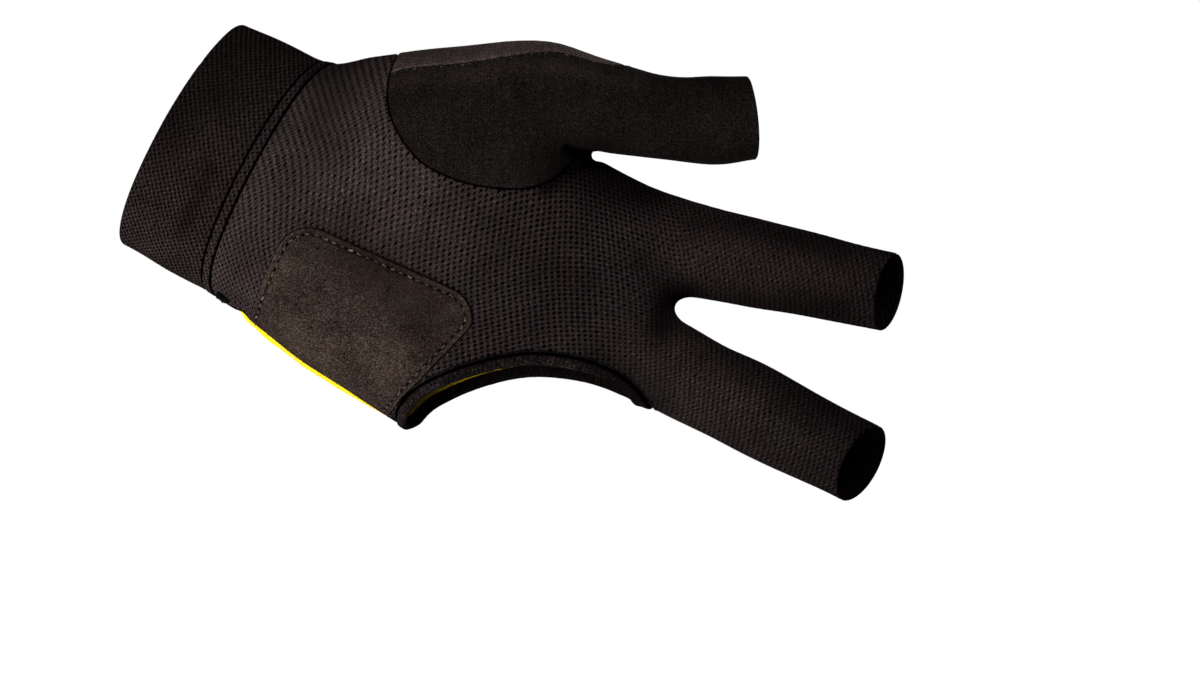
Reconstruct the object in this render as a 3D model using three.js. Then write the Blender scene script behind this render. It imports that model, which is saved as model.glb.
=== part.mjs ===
// Billiard glove for the left hand, in the form that it has when it is worn.
// Millimetres. +X runs along the fingers, +Z to the thumb, and the palm faces -Y.
// The origin is the middle of the wrist opening.
// The fabric is one smooth surface round the hand. Seam curves cut that surface into
// panels, and each panel is thickened into a closed wall.
import * as THREE from "three";

// Driving sizes
const WRIST_OPENING = { x: 0.9, lean: 0.13, slope: 0.088 };
const CUFF_SEAM = { x: 25.8, lean: 0.24, slope: 0.063 };
const BAND_WIDTH = 2.6;
const BINDING_WIDTH = 3.0;
const SIDE_SEAM = { y: -2.9, slope: -0.1, halfWidth: 0.9, lowestZ: -20 };
const PATCH = { left: 36.2, right: 87.6, top: -8.7, bottom: -70, corner: 8.5 };
const PATCH_SLANT = { below: -15, rate: 0.36 };
const SEAM_LUMP = { x: 27.8, halfLength: 3.5, height: 0.7 };
const FINGER_ROOTS = { x: 138, betweenZ: 10 };
const GAP = 0.3;
const THUMB_SEAM_GAP = 0.5;

// Walls: how far each piece stands out of the fabric's surface, and how far it goes in
const WALLS = {
  mesh_body: { out: 0, in: 1.3 },
  index_sleeve: { out: 0, in: 1.3 },
  middle_sleeve: { out: 0, in: 1.3 },
  cuff: { out: 0.2, in: 1.6 },
  cuff_seam_band: { out: 0.4, in: 1.4 },
  thumb_sleeve: { out: 0.1, in: 1.2 },
  thumb_back_strip: { out: 0.1, in: 1.2 },
  heel_patch: { out: 1.3, in: -0.3 },
  back_panel: { out: 0, in: 1.2 },
  opening_binding: { out: 0.7, in: 1.5 },
  side_seam: { out: 0.4, in: 1.2 },
};

// How finely the surface is made: its grid cells are longer along the fingers
const CELL = new THREE.Vector3(7.6, 4.65, 4.65);
const CURVE_STEPS = 6;
const PROJECTIONS = 3;
const RELAXATIONS = 4;
const RELAX_SHARE = 0.5;
const GRADIENT_STEP = 0.05;
const CUT_MARGIN = 0.04;
const LOW = new THREE.Vector3(-16.5, -64, -58);
const HIGH = new THREE.Vector3(203, 30, 80);

// A table is a list of rows, each an object with the named columns.
function table(columns, rows) {
  return rows.map((row) =>
    Object.fromEntries(columns.map((name, i) => [name, row[i]])),
  );
}

// Limbs of the form: the middle of each section, half its width and half its depth
const SECTION = ["x", "y", "z", "across", "through"];
const SQUARED_SECTION = [...SECTION, "square"];
const HAND = table(SQUARED_SECTION, [
  [-14, 1.3, -0.7, 31.0, 21.5, 2.0],
  [0, 0.0, -1.3, 31.0, 21.5, 2.0],
  [13, -1.1, -1.8, 31.8, 20.8, 2.1],
  [25, -2.2, -2.3, 31.9, 20.0, 2.2],
  [38, -3.5, -2.6, 32.8, 18.0, 2.4],
  [55, -5.2, -2.8, 36.2, 16.5, 2.4],
  [75, -7.2, -3.5, 38.7, 15.5, 2.4],
  [95, -9.2, -5.2, 39.6, 14.5, 2.4],
  [117, -12.0, -6.2, 37.6, 13.0, 2.4],
]);
const THUMB_PAD = table(SECTION, [
  [40, -11, 14, 11, 12],
  [56, -15, 22, 13, 13],
  [76, -18, 32, 12.5, 12.5],
]);
const HEEL_PAD = table(SECTION, [
  [34, -9, -20, 11, 11],
  [55, -11, -25.5, 12.6, 12.5],
  [84, -13, -31, 10.8, 11],
]);
const THUMB = table(SECTION, [
  [46, -11, 24.6, 12.0, 12.5],
  [62, -15, 33.8, 12.7, 14],
  [78, -17, 42.6, 13.1, 13.3],
  [93, -16.5, 46.6, 11.3, 11.8],
  [109.5, -14.5, 50.6, 10.4, 10.4],
  [120, -13.2, 54.7, 10.8, 10.3],
  [128.5, -12, 59.2, 10.0, 10.0],
  [136, -11, 62.8, 10.0, 10.0],
]);
const INDEX_FINGER = table(SECTION, [
  [98, -9, 18.4, 12.6, 13],
  [114, -11, 21.2, 12.2, 12.5],
  [129, -14, 23.8, 11.6, 12],
  [144, -18.5, 26.7, 10.6, 10.8],
  [158, -24.5, 29.6, 10.2, 10.2],
  [174, -32, 32.5, 9.5, 9.6],
  [181, -35.5, 33.9, 9.3, 9.5],
]);
const MIDDLE_FINGER = table(SECTION, [
  [98, -10, -2, 13, 13],
  [114, -12, -2.8, 12.0, 13],
  [129, -15.5, -4.1, 11.5, 12.3],
  [144, -21, -5.4, 10.8, 11.3],
  [157, -28.0, -6.0, 10.8, 11],
  [171, -36, -6.5, 10.3, 10.6],
  [184, -43.5, -7.3, 9.8, 10.2],
  [190, -47, -7.7, 9.8, 10.2],
]);
const ROUND = 2;

// How softly one limb runs into the next
const SOFT = { pads: 9, thumbRoot: 12, thumbWeb: 5, fingers: 2.5, knuckles: 5 };
const THUMB_ROOT_X = 66;
const THUMB_WEB_X = 92;

// Open ends of the sleeves: the middle of each and the way that it faces
const SLEEVE_ENDS = table(["x", "y", "z", "facesX", "facesY", "facesZ"], [
  [128.8, -12, 59.6, 0.855, 0.11, 0.505],
  [175.6, -32.8, 32.8, 0.89, -0.42, 0.175],
  [185.1, -44.2, -7.4, 0.86, -0.505, -0.055],
]);
const SLEEVE_END_REACH = 26;

// Seam curves, seen from the palm: each panel lies on the left of its curve. A palm curve
// runs into its back curve where the surface faces sideways, at the turn rate.
const TURN_RATE = 0.83;
const POINT = ["x", "z"];
const THUMB_SEAM_PALM = table(POINT, [
  [42, 62], [43.5, 36], [48.5, 23.5], [59, 16.5], [72, 16.3], [83, 20.8],
  [90, 28.5], [95.5, 35.8], [109, 37.6], [126, 39.8], [150, 47],
]);
const THUMB_SEAM_BACK = table(POINT, [
  [42, 62], [43.5, 36], [48.5, 27], [59, 23.5], [72, 24], [84, 27],
  [92, 31], [97.5, 36], [110, 37.4], [126, 39.8], [150, 47],
]);
const STRIP_SEAM_PALM = table(POINT, [
  [36, 22], [44.7, 33.4], [57.3, 42], [70.5, 50], [79, 53.6], [91.5, 56.8], [104, 66],
]);
const STRIP_SEAM_BACK = table(POINT, [
  [36, 18], [46, 26], [58, 34], [70, 41], [81, 47], [91, 54], [104, 66],
]);
const OPENING_PALM = table(POINT, [
  [81.4, -70], [81.4, -43.5], [87, -31.8], [101.3, -19.9], [115, -14.9],
  [125, -14.6], [131, -17.2], [134.5, -23], [136, -50],
]);
const OPENING_BACK = table(POINT, [
  [84, -70], [84.5, -45], [89.5, -34.5], [102.5, -23], [116, -17.6],
  [128, -16.4], [134.5, -18], [137.3, -24], [138, -50],
]);
const BACK_PANEL_EDGE = table(POINT, [
  [140, -52], [127, -32], [117, -19], [107, -9], [92, -1], [72, 3], [50, 1], [30, -6], [10, -12],
]);

// Smooth curve through the rows of a table, for every column at once
function smoothRows(rows, steps) {
  const columns = Object.keys(rows[0]);
  const outer = (a, b) =>
    Object.fromEntries(columns.map((c) => [c, 2 * a[c] - b[c]]));
  const last = rows.length - 1;
  const all = [outer(rows[0], rows[1]), ...rows, outer(rows[last], rows[last - 1])];
  const smooth = [];
  for (let i = 0; i < last; i++) {
    const [a, b, c, d] = all.slice(i, i + 4);
    for (let step = 0; step < steps; step++) {
      const t = step / steps;
      smooth.push(
        Object.fromEntries(
          columns.map((name) => [name, catmullRom(a[name], b[name], c[name], d[name], t)]),
        ),
      );
    }
  }
  smooth.push({ ...rows[last] });
  return smooth;
}

function catmullRom(a, b, c, d, t) {
  const linear = (c - a) * t;
  const square = (2 * a - 5 * b + 4 * c - d) * t * t;
  const cube = (3 * b - a - 3 * c + d) * t * t * t;
  return 0.5 * (2 * b + linear + square + cube);
}

// Distance outside a limb, negative inside it
function limb(rows) {
  const samples = smoothRows(rows, CURVE_STEPS);
  for (const s of samples) s.centre = new THREE.Vector3(s.x, s.y, s.z);
  const up = new THREE.Vector3(0, 0, 1);
  samples.forEach((s, i) => {
    const before = samples[Math.max(i - 1, 0)].centre;
    const after = samples[Math.min(i + 1, samples.length - 1)].centre;
    s.along = after.clone().sub(before).normalize();
    s.depthAxis = s.along.clone().cross(up).normalize();
    s.widthAxis = s.depthAxis.clone().cross(s.along);
  });
  const offset = new THREE.Vector3();
  const axis = new THREE.Vector3();
  return (p) => {
    const near = nearest(samples, p);
    const s = samples[near];
    const along = offset.copy(p).sub(s.centre).dot(s.along);
    const next = samples[near + Math.sign(along)] ?? s;
    const spacing = next.centre.distanceTo(s.centre);
    const t = spacing > 0 ? Math.min(Math.abs(along) / spacing, 1) : 0;
    const mix = (name) => THREE.MathUtils.lerp(s[name], next[name], t);
    offset.lerpVectors(s.centre, next.centre, t).sub(p);
    const side = (name) => Math.abs(offset.dot(axis.lerpVectors(s[name], next[name], t)));
    const past = next === s ? Math.abs(along) : 0;
    const reach = [
      [side("widthAxis"), mix("across")],
      [side("depthAxis"), mix("through")],
      [past, mix("through")],
    ];
    return ellipseDistance(reach, "square" in s ? mix("square") : ROUND);
  };
}

function nearest(samples, p) {
  let best = 0;
  let least = Infinity;
  for (let i = 0; i < samples.length; i++) {
    const d = samples[i].centre.distanceToSquared(p);
    if (d < least) {
      least = d;
      best = i;
    }
  }
  return best;
}

// First-order distance to an ellipsoid of the given squareness, from [offset, radius] pairs
function ellipseDistance(reach, power) {
  const sum = reach.reduce((total, [u, r]) => total + (u / r) ** power, 1e-9);
  const size = sum ** (1 / power);
  const slopes = reach.reduce(
    (total, [u, r]) => total + (u ** (power - 1) / r ** power) ** 2,
    1e-12,
  );
  return (size - 1) / (size ** (1 - power) * Math.sqrt(slopes));
}

// Smooth union of two distances
function join(a, b, softness) {
  const h = Math.max(softness - Math.abs(a - b), 0) / softness;
  return Math.min(a, b) - (h * h * softness) / 4;
}

// The surface of the fabric round the hand
const hand = limb(HAND);
const thumbPad = limb(THUMB_PAD);
const heelPad = limb(HEEL_PAD);
const thumb = limb(THUMB);
const indexFinger = limb(INDEX_FINGER);
const middleFinger = limb(MIDDLE_FINGER);

function form(p) {
  const web = THREE.MathUtils.clamp((p.x - THUMB_ROOT_X) / (THUMB_WEB_X - THUMB_ROOT_X), 0, 1);
  const thumbSoftness = THREE.MathUtils.lerp(SOFT.thumbRoot, SOFT.thumbWeb, web);
  let distance = join(hand(p), heelPad(p), SOFT.pads);
  distance = join(distance, thumbPad(p), SOFT.pads);
  distance = join(distance, thumb(p), thumbSoftness);
  const fingers = join(indexFinger(p), middleFinger(p), SOFT.fingers);
  return join(distance, fingers, SOFT.knuckles);
}

function gradient(p) {
  const g = new THREE.Vector3();
  for (const axis of ["x", "y", "z"]) {
    const ahead = p.clone();
    const behind = p.clone();
    ahead[axis] += GRADIENT_STEP;
    behind[axis] -= GRADIENT_STEP;
    g[axis] = (form(ahead) - form(behind)) / (2 * GRADIENT_STEP);
  }
  return g;
}

function projectToForm(p) {
  for (let i = 0; i < PROJECTIONS; i++) {
    const g = gradient(p);
    p.addScaledVector(g, -form(p) / g.lengthSq());
  }
}

// Mesh of the form: one vertex in each grid cell that the surface crosses, and one
// quad round each grid edge that it crosses
function surfaceMesh() {
  const size = HIGH.clone().sub(LOW).divide(CELL);
  const n = [Math.ceil(size.x) + 1, Math.ceil(size.y) + 1, Math.ceil(size.z) + 1];
  const id = (i, j, k) => (i * n[1] + j) * n[2] + k;
  const value = new Float64Array(n[0] * n[1] * n[2]);
  const corner = (i, j, k) => new THREE.Vector3(i, j, k).multiply(CELL).add(LOW);
  for (let i = 0; i < n[0]; i++)
    for (let j = 0; j < n[1]; j++)
      for (let k = 0; k < n[2]; k++) value[id(i, j, k)] = form(corner(i, j, k));

  const crossings = new Map();
  const quads = [];
  const note = (cell, point) => {
    const entry = crossings.get(cell) ?? { sum: new THREE.Vector3(), count: 0 };
    entry.sum.add(point);
    entry.count += 1;
    crossings.set(cell, entry);
  };
  for (let i = 1; i < n[0] - 1; i++)
    for (let j = 1; j < n[1] - 1; j++)
      for (let k = 1; k < n[2] - 1; k++)
        for (let axis = 0; axis < 3; axis++) {
          const ahead = [i, j, k];
          ahead[axis] += 1;
          const a = value[id(i, j, k)];
          const b = value[id(...ahead)];
          if (a < 0 === b < 0) continue;
          const point = corner(i, j, k).lerp(corner(...ahead), a / (a - b));
          const u = (axis + 1) % 3;
          const v = (axis + 2) % 3;
          const ring = [[-1, -1], [0, -1], [0, 0], [-1, 0]].map(([du, dv]) => {
            const cell = [i, j, k];
            cell[u] += du;
            cell[v] += dv;
            return id(...cell);
          });
          ring.forEach((cell) => note(cell, point));
          quads.push(a < 0 ? ring : ring.reverse());
        }

  const index = new Map([...crossings.keys()].map((cell, i) => [cell, i]));
  const points = [...crossings.values()].map((c) => c.sum.divideScalar(c.count));
  const faces = quads.map((quad) => quad.map((cell) => index.get(cell)));
  relax(points, faces);
  const triangles = faces.flatMap(([a, b, c, d]) =>
    points[a].distanceTo(points[c]) < points[b].distanceTo(points[d])
      ? [[a, b, c], [a, c, d]]
      : [[a, b, d], [b, c, d]],
  );
  return { points, triangles };
}

// Evens out the mesh, with every point kept on the form
function relax(points, faces) {
  const neighbours = points.map(() => new Set());
  for (const face of faces)
    face.forEach((a, i) => {
      const b = face[(i + 1) % face.length];
      neighbours[a].add(b);
      neighbours[b].add(a);
    });
  points.forEach(projectToForm);
  for (let round = 0; round < RELAXATIONS; round++) {
    const middles = neighbours.map((set) => {
      const sum = new THREE.Vector3();
      set.forEach((i) => sum.add(points[i]));
      return sum.divideScalar(set.size);
    });
    points.forEach((p, i) => {
      p.lerp(middles[i], RELAX_SHARE);
      projectToForm(p);
    });
  }
}

// Signed distance to a curve in the x-z plane, positive on its left
function leftOf(rows) {
  const curve = smoothRows(rows, CURVE_STEPS);
  return (p) => {
    let least = Infinity;
    let signed = 0;
    for (let i = 0; i + 1 < curve.length; i++) {
      const a = curve[i];
      const dx = curve[i + 1].x - a.x;
      const dz = curve[i + 1].z - a.z;
      const along = ((p.x - a.x) * dx + (p.z - a.z) * dz) / (dx * dx + dz * dz);
      const t = THREE.MathUtils.clamp(along, 0, 1);
      const offX = p.x - a.x - t * dx;
      const offZ = p.z - a.z - t * dz;
      const distance = Math.hypot(offX, offZ);
      if (distance < least) {
        least = distance;
        signed = dx * offZ - dz * offX < 0 ? -distance : distance;
      }
    }
    return signed;
  };
}

// Curve that goes one way over the palm and another over the back
function roundTheHand(palmRows, backRows) {
  const palm = leftOf(palmRows);
  const back = leftOf(backRows);
  return (p, normal) => {
    const turn = THREE.MathUtils.clamp(0.5 + TURN_RATE * normal.y, 0, 1);
    return THREE.MathUtils.lerp(palm(p), back(p), turn);
  };
}

const onThumb = roundTheHand(THUMB_SEAM_PALM, THUMB_SEAM_BACK);
const seamMargin = (THUMB_SEAM_GAP - GAP) / 2;
const wellOnThumb = (p, normal) => onThumb(p, normal) - seamMargin;
const wellOffThumb = (p, normal) => -onThumb(p, normal) - seamMargin;
const onStrip = roundTheHand(STRIP_SEAM_PALM, STRIP_SEAM_BACK);
const insideOpening = roundTheHand(OPENING_PALM, OPENING_BACK);
const belowPanelEdge = leftOf(BACK_PANEL_EDGE);

const pastPlane = (plane) => (p) => p.x - plane.x - plane.lean * p.y - plane.slope * p.z;
const pastWristOpening = pastPlane(WRIST_OPENING);
const pastCuffSeam = pastPlane(CUFF_SEAM);

const pastFingerRoots = (p) => p.x - FINGER_ROOTS.x;
const onIndexSide = (p) => p.z - FINGER_ROOTS.betweenZ;
const behindSideSeam = (p) => p.y - SIDE_SEAM.y - SIDE_SEAM.slope * p.x;
const onBackPanel = (p) =>
  Math.min(behindSideSeam(p) + SIDE_SEAM.halfWidth, belowPanelEdge(p));

function beforeSleeveEnds(p) {
  let least = SLEEVE_END_REACH;
  for (const end of SLEEVE_ENDS) {
    const offset = new THREE.Vector3(p.x - end.x, p.y - end.y, p.z - end.z);
    if (offset.length() > SLEEVE_END_REACH) continue;
    const past = offset.dot(new THREE.Vector3(end.facesX, end.facesY, end.facesZ));
    least = Math.min(least, -past);
  }
  return least;
}

function insidePatch(p) {
  const halfX = (PATCH.right - PATCH.left) / 2 - PATCH.corner;
  const halfZ = (PATCH.top - PATCH.bottom) / 2 - PATCH.corner;
  const middle = (PATCH.left + PATCH.right) / 2;
  const slant = p.x > middle ? PATCH_SLANT.rate * Math.max(0, PATCH_SLANT.below - p.z) : 0;
  const x = Math.abs(p.x + slant - middle) - halfX;
  const z = Math.abs(p.z - (PATCH.top + PATCH.bottom) / 2) - halfZ;
  const outside = Math.hypot(Math.max(x, 0), Math.max(z, 0));
  return PATCH.corner - outside - Math.min(Math.max(x, z), 0);
}

// What each piece covers: a list of values that are all above half a gap on it
const COVERS = {
  cuff: [pastWristOpening, (p) => -pastCuffSeam(p)],
  cuff_seam_band: [pastCuffSeam, (p) => BAND_WIDTH - pastCuffSeam(p)],
  mesh_body: [
    (p) => pastCuffSeam(p) - BAND_WIDTH,
    (p, n) => insideOpening(p, n) - BINDING_WIDTH,
    wellOffThumb,
    (p) => -onBackPanel(p),
    (p) => -pastFingerRoots(p),
  ],
  index_sleeve: [pastFingerRoots, onIndexSide, beforeSleeveEnds],
  middle_sleeve: [
    pastFingerRoots,
    (p) => -onIndexSide(p),
    (p, n) => insideOpening(p, n) - BINDING_WIDTH,
    beforeSleeveEnds,
  ],
  thumb_sleeve: [wellOnThumb, (p, n) => -onStrip(p, n), beforeSleeveEnds],
  thumb_back_strip: [wellOnThumb, onStrip],
  heel_patch: [
    insidePatch,
    (p) => -behindSideSeam(p) - SIDE_SEAM.halfWidth,
    (p, n) => insideOpening(p, n) - BINDING_WIDTH,
  ],
  back_panel: [
    (p) => behindSideSeam(p) - SIDE_SEAM.halfWidth,
    belowPanelEdge,
    (p) => pastCuffSeam(p) - BAND_WIDTH,
    (p, n) => insideOpening(p, n) - BINDING_WIDTH,
  ],
  opening_binding: [insideOpening, (p, n) => BINDING_WIDTH - insideOpening(p, n)],
  side_seam: [
    (p) => SIDE_SEAM.lowestZ - p.z,
    (p) => SIDE_SEAM.halfWidth - behindSideSeam(p),
    (p) => SIDE_SEAM.halfWidth + behindSideSeam(p),
    (p) => pastCuffSeam(p) - BAND_WIDTH,
    (p, n) => insideOpening(p, n) - BINDING_WIDTH,
  ],
};

// The part of a mesh where the value is above half a gap
function cut(mesh, value) {
  const level = mesh.points.map((p, i) => value(p, mesh.normals[i]) - GAP / 2);
  const points = [];
  const normals = [];
  const kept = new Map();
  const keep = (i) => {
    if (!kept.has(i)) {
      kept.set(i, points.length);
      points.push(mesh.points[i]);
      normals.push(mesh.normals[i]);
    }
    return kept.get(i);
  };
  const cross = (i, j) => {
    const key = i < j ? i + "," + j : j + "," + i;
    if (!kept.has(key)) {
      const [a, b] = i < j ? [i, j] : [j, i];
      const exact = level[a] / (level[a] - level[b]);
      const t = THREE.MathUtils.clamp(exact, CUT_MARGIN, 1 - CUT_MARGIN);
      kept.set(key, points.length);
      points.push(mesh.points[a].clone().lerp(mesh.points[b], t));
      normals.push(mesh.normals[a].clone().lerp(mesh.normals[b], t).normalize());
    }
    return kept.get(key);
  };
  const triangles = [];
  for (const triangle of mesh.triangles) {
    const ring = [];
    triangle.forEach((a, i) => {
      const b = triangle[(i + 1) % 3];
      if (level[a] > 0) ring.push(keep(a));
      if (level[a] > 0 !== level[b] > 0) ring.push(cross(a, b));
    });
    for (let i = 1; i + 1 < ring.length; i++) triangles.push([ring[0], ring[i], ring[i + 1]]);
  }
  return { points, normals, triangles };
}

// Closed wall on both sides of an open mesh, with a rim round every free edge
function thicken(mesh, out, inward) {
  const count = mesh.points.length;
  const corners = [];
  for (const offset of [out, () => -inward])
    mesh.points.forEach((p, i) =>
      corners.push(p.clone().addScaledVector(mesh.normals[i], offset(p))),
    );
  const faces = [];
  const edges = new Set(
    mesh.triangles.flatMap(([a, b, c]) => [a + "," + b, b + "," + c, c + "," + a]),
  );
  for (const [a, b, c] of mesh.triangles) {
    faces.push([a, b, c], [a + count, c + count, b + count]);
    for (const [i, j] of [[a, b], [b, c], [c, a]])
      if (!edges.has(j + "," + i)) faces.push([i, i + count, j + count], [i, j + count, j]);
  }
  const geometry = new THREE.BufferGeometry();
  const position = new Float32Array(corners.flatMap((p) => [p.x, p.y, p.z]));
  geometry.setAttribute("position", new THREE.BufferAttribute(position, 3));
  geometry.setIndex(faces.flat());
  geometry.computeVertexNormals();
  return geometry;
}

// The seam ridge swells where its ends are tucked in beside the cuff
function ridgeHeight(p) {
  const t = (p.x - SEAM_LUMP.x) / SEAM_LUMP.halfLength;
  return WALLS.side_seam.out + SEAM_LUMP.height * Math.max(0, 1 - t * t);
}

const MATERIALS = {
  mesh_body: { color: 0x2a2424, roughness: 0.85 },
  index_sleeve: { color: 0x1e1818, roughness: 0.85 },
  middle_sleeve: { color: 0x1e1818, roughness: 0.85 },
  cuff: { color: 0x1f1a1a, roughness: 0.9 },
  cuff_seam_band: { color: 0x252020, roughness: 0.9 },
  thumb_sleeve: { color: 0x1a1615, roughness: 0.7 },
  thumb_back_strip: { color: 0x322a28, roughness: 0.75 },
  heel_patch: { color: 0x37302b, roughness: 0.95 },
  back_panel: { color: 0xf5cc18, roughness: 0.6 },
  opening_binding: { color: 0x141212, roughness: 0.85 },
  side_seam: { color: 0x161414, roughness: 0.85 },
};

const surface = surfaceMesh();
surface.normals = surface.points.map((p) => gradient(p).normalize());

const glove = new THREE.Group();
glove.name = "billiard_glove";
for (const [name, limits] of Object.entries(COVERS)) {
  const panel = limits.reduce((mesh, value) => cut(mesh, value), surface);
  const wall = WALLS[name];
  const out = name === "side_seam" ? ridgeHeight : () => wall.out;
  const material = new THREE.MeshStandardMaterial({ ...MATERIALS[name], metalness: 0 });
  const mesh = new THREE.Mesh(thicken(panel, out, wall.in), material);
  mesh.name = name;
  glove.add(mesh);
}

export default glove;
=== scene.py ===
# Looks of the billiard glove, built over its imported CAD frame.
# Tables are in millimetres, in the glove's own frame: +X runs along the fingers, +Z to the
# thumb, and the palm faces -Y. Blender works in metres.
import math
from collections import namedtuple

import bpy
import numpy as np
from mathutils import Matrix, Vector


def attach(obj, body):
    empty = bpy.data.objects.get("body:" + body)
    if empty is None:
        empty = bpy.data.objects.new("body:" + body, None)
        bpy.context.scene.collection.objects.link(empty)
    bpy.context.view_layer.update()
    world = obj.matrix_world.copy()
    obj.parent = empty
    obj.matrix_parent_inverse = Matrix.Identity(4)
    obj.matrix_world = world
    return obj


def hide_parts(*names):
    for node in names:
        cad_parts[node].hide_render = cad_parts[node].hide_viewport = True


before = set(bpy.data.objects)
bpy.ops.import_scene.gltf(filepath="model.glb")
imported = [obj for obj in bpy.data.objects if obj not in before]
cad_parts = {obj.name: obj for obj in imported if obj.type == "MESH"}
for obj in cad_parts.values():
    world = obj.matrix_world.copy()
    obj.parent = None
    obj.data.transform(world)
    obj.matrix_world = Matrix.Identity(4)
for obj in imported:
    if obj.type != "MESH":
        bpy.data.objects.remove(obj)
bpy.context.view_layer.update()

MM = 0.001
TINY = 1e-9
UP = np.array([0.0, 0.0, 1.0])

# Limbs of the form: x, y and z of each section's middle, half its width, half its depth,
# and how square it is
HAND = [
    (-14, 1.3, -0.7, 31.0, 21.5, 2.0),
    (0, 0.0, -1.3, 31.0, 21.5, 2.0),
    (13, -1.1, -1.8, 31.8, 20.8, 2.1),
    (25, -2.2, -2.3, 31.9, 20.0, 2.2),
    (38, -3.5, -2.6, 32.8, 18.0, 2.4),
    (55, -5.2, -2.8, 36.2, 16.5, 2.4),
    (75, -7.2, -3.5, 38.7, 15.5, 2.4),
    (95, -9.2, -5.2, 39.6, 14.5, 2.4),
    (117, -12.0, -6.2, 37.6, 13.0, 2.4),
]
THUMB_PAD = [
    (40, -11, 14, 11, 12, 2),
    (56, -15, 22, 13, 13, 2),
    (76, -18, 32, 12.5, 12.5, 2),
]
HEEL_PAD = [
    (34, -9, -20, 11, 11, 2),
    (55, -11, -25.5, 12.6, 12.5, 2),
    (84, -13, -31, 10.8, 11, 2),
]
THUMB = [
    (46, -11, 24.6, 12.0, 12.5, 2),
    (62, -15, 33.8, 12.7, 14, 2),
    (78, -17, 42.6, 13.1, 13.3, 2),
    (93, -16.5, 46.6, 11.3, 11.8, 2),
    (109.5, -14.5, 50.6, 10.4, 10.4, 2),
    (120, -13.2, 54.7, 10.8, 10.3, 2),
    (128.5, -12, 59.2, 10.0, 10.0, 2),
    (136, -11, 62.8, 10.0, 10.0, 2),
]
INDEX_FINGER = [
    (98, -9, 18.4, 12.6, 13, 2),
    (114, -11, 21.2, 12.2, 12.5, 2),
    (129, -14, 23.8, 11.6, 12, 2),
    (144, -18.5, 26.7, 10.6, 10.8, 2),
    (158, -24.5, 29.6, 10.2, 10.2, 2),
    (174, -32, 32.5, 9.5, 9.6, 2),
    (181, -35.5, 33.9, 9.3, 9.5, 2),
]
MIDDLE_FINGER = [
    (98, -10, -2, 13, 13, 2),
    (114, -12, -2.8, 12.0, 13, 2),
    (129, -15.5, -4.1, 11.5, 12.3, 2),
    (144, -21, -5.4, 10.8, 11.3, 2),
    (157, -28.0, -6.0, 10.8, 11, 2),
    (171, -36, -6.5, 10.3, 10.6, 2),
    (184, -43.5, -7.3, 9.8, 10.2, 2),
    (190, -47, -7.7, 9.8, 10.2, 2),
]
SOFT = {"pads": 9, "thumb_root": 12, "thumb_web": 5, "fingers": 2.5, "knuckles": 5}
THUMB_ROOT_X = 66
THUMB_WEB_X = 92

# Open ends of the sleeves: a point in each and the way that it faces
SLEEVE_ENDS = [
    ((128.8, -12, 59.6), (0.855, 0.11, 0.505)),
    ((175.6, -32.8, 32.8), (0.89, -0.42, 0.175)),
    ((185.1, -44.2, -7.4), (0.86, -0.505, -0.055)),
]
SLEEVE_END_REACH = 26

# Seams: planes, and curves of x and z with the panel on their left
WRIST_OPENING = {"x": 0.9, "lean": 0.13, "slope": 0.088}
CUFF_SEAM = {"x": 25.8, "lean": 0.24, "slope": 0.063}
BAND_WIDTH = 2.6
BINDING_WIDTH = 3.0
SIDE_SEAM = {"y": -2.9, "slope": -0.1, "half_width": 0.9, "back_width": 0.5, "lowest_z": -20}
PAD = {"left": 36.2, "right": 87.6, "top": -8.7, "bottom": -70, "corner": 8.5}
PAD_SLANT = {"below": -15, "rate": 0.36}
LUMP_PLACE = np.array([27.8, -10.4, -33.7])
SEAM_LUMP = {
    "half_length": 2.0, "radius": 1.1, "breadth": 1.15, "flatness": 0.8, "lift": 0.55,
    "sides": 12, "rings": 15,
}
FREE_INSET = 0.15
TURN_RATE = 0.83
THUMB_SEAM_PALM = [
    (42, 62), (43.5, 36), (48.5, 23.5), (59, 16.2), (70, 15.4), (79.5, 17.6), (86.5, 21.0),
    (90.6, 25.2), (93.2, 30.6), (96.2, 35.6), (109, 37.6), (126, 39.8), (150, 47),
]
THUMB_SEAM_BACK = [
    (42, 62), (43.5, 36), (48.5, 27), (59, 23.5), (72, 24), (84, 27),
    (92, 31), (97.5, 36), (110, 37.4), (126, 39.8), (150, 47),
]
STRIP_SEAM_PALM = [
    (36, 22), (44.7, 33.0), (57.6, 40.6), (70.7, 49.2), (79, 53.6), (91.5, 56.8), (104, 66),
]
STRIP_SEAM_BACK = [
    (36, 18), (46, 26), (58, 34), (70, 41), (81, 47), (91, 54), (104, 66),
]
OPENING_PALM = [
    (81.4, -70), (81.4, -43.5), (87, -31.8), (101.3, -19.9), (115, -14.9),
    (125, -14.6), (131, -17.2), (134.5, -23), (136, -50),
]
OPENING_BACK = [
    (84, -70), (84.5, -45), (89.5, -34.5), (102.5, -23), (116, -17.6),
    (128, -16.4), (134.5, -18), (137.3, -24), (138, -50),
]
BACK_PANEL_EDGE = [
    (140, -52), (127, -32), (117, -19), (107, -9), (92, -1), (72, 3), (50, 1), (30, -6),
    (10, -12),
]

# How finely the surface is made
NET_LOW = np.array([-16.0, -64.0, -60.0])
NET_HIGH = np.array([203.0, 31.0, 81.0])
NET_CELL = 1.92
CURVE_STEPS = 6
RELAXATIONS = 5
GRADIENT_STEP = 0.05
CHUNK = 60000
LINE_CHUNK = 4000
SHORT_CHAIN = 5
CUT_MARGIN = 0.06


def unit(v):
    return v / np.maximum(np.linalg.norm(v, axis=-1, keepdims=True), TINY)


def dot(a, b):
    return (a * b).sum(-1)


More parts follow.
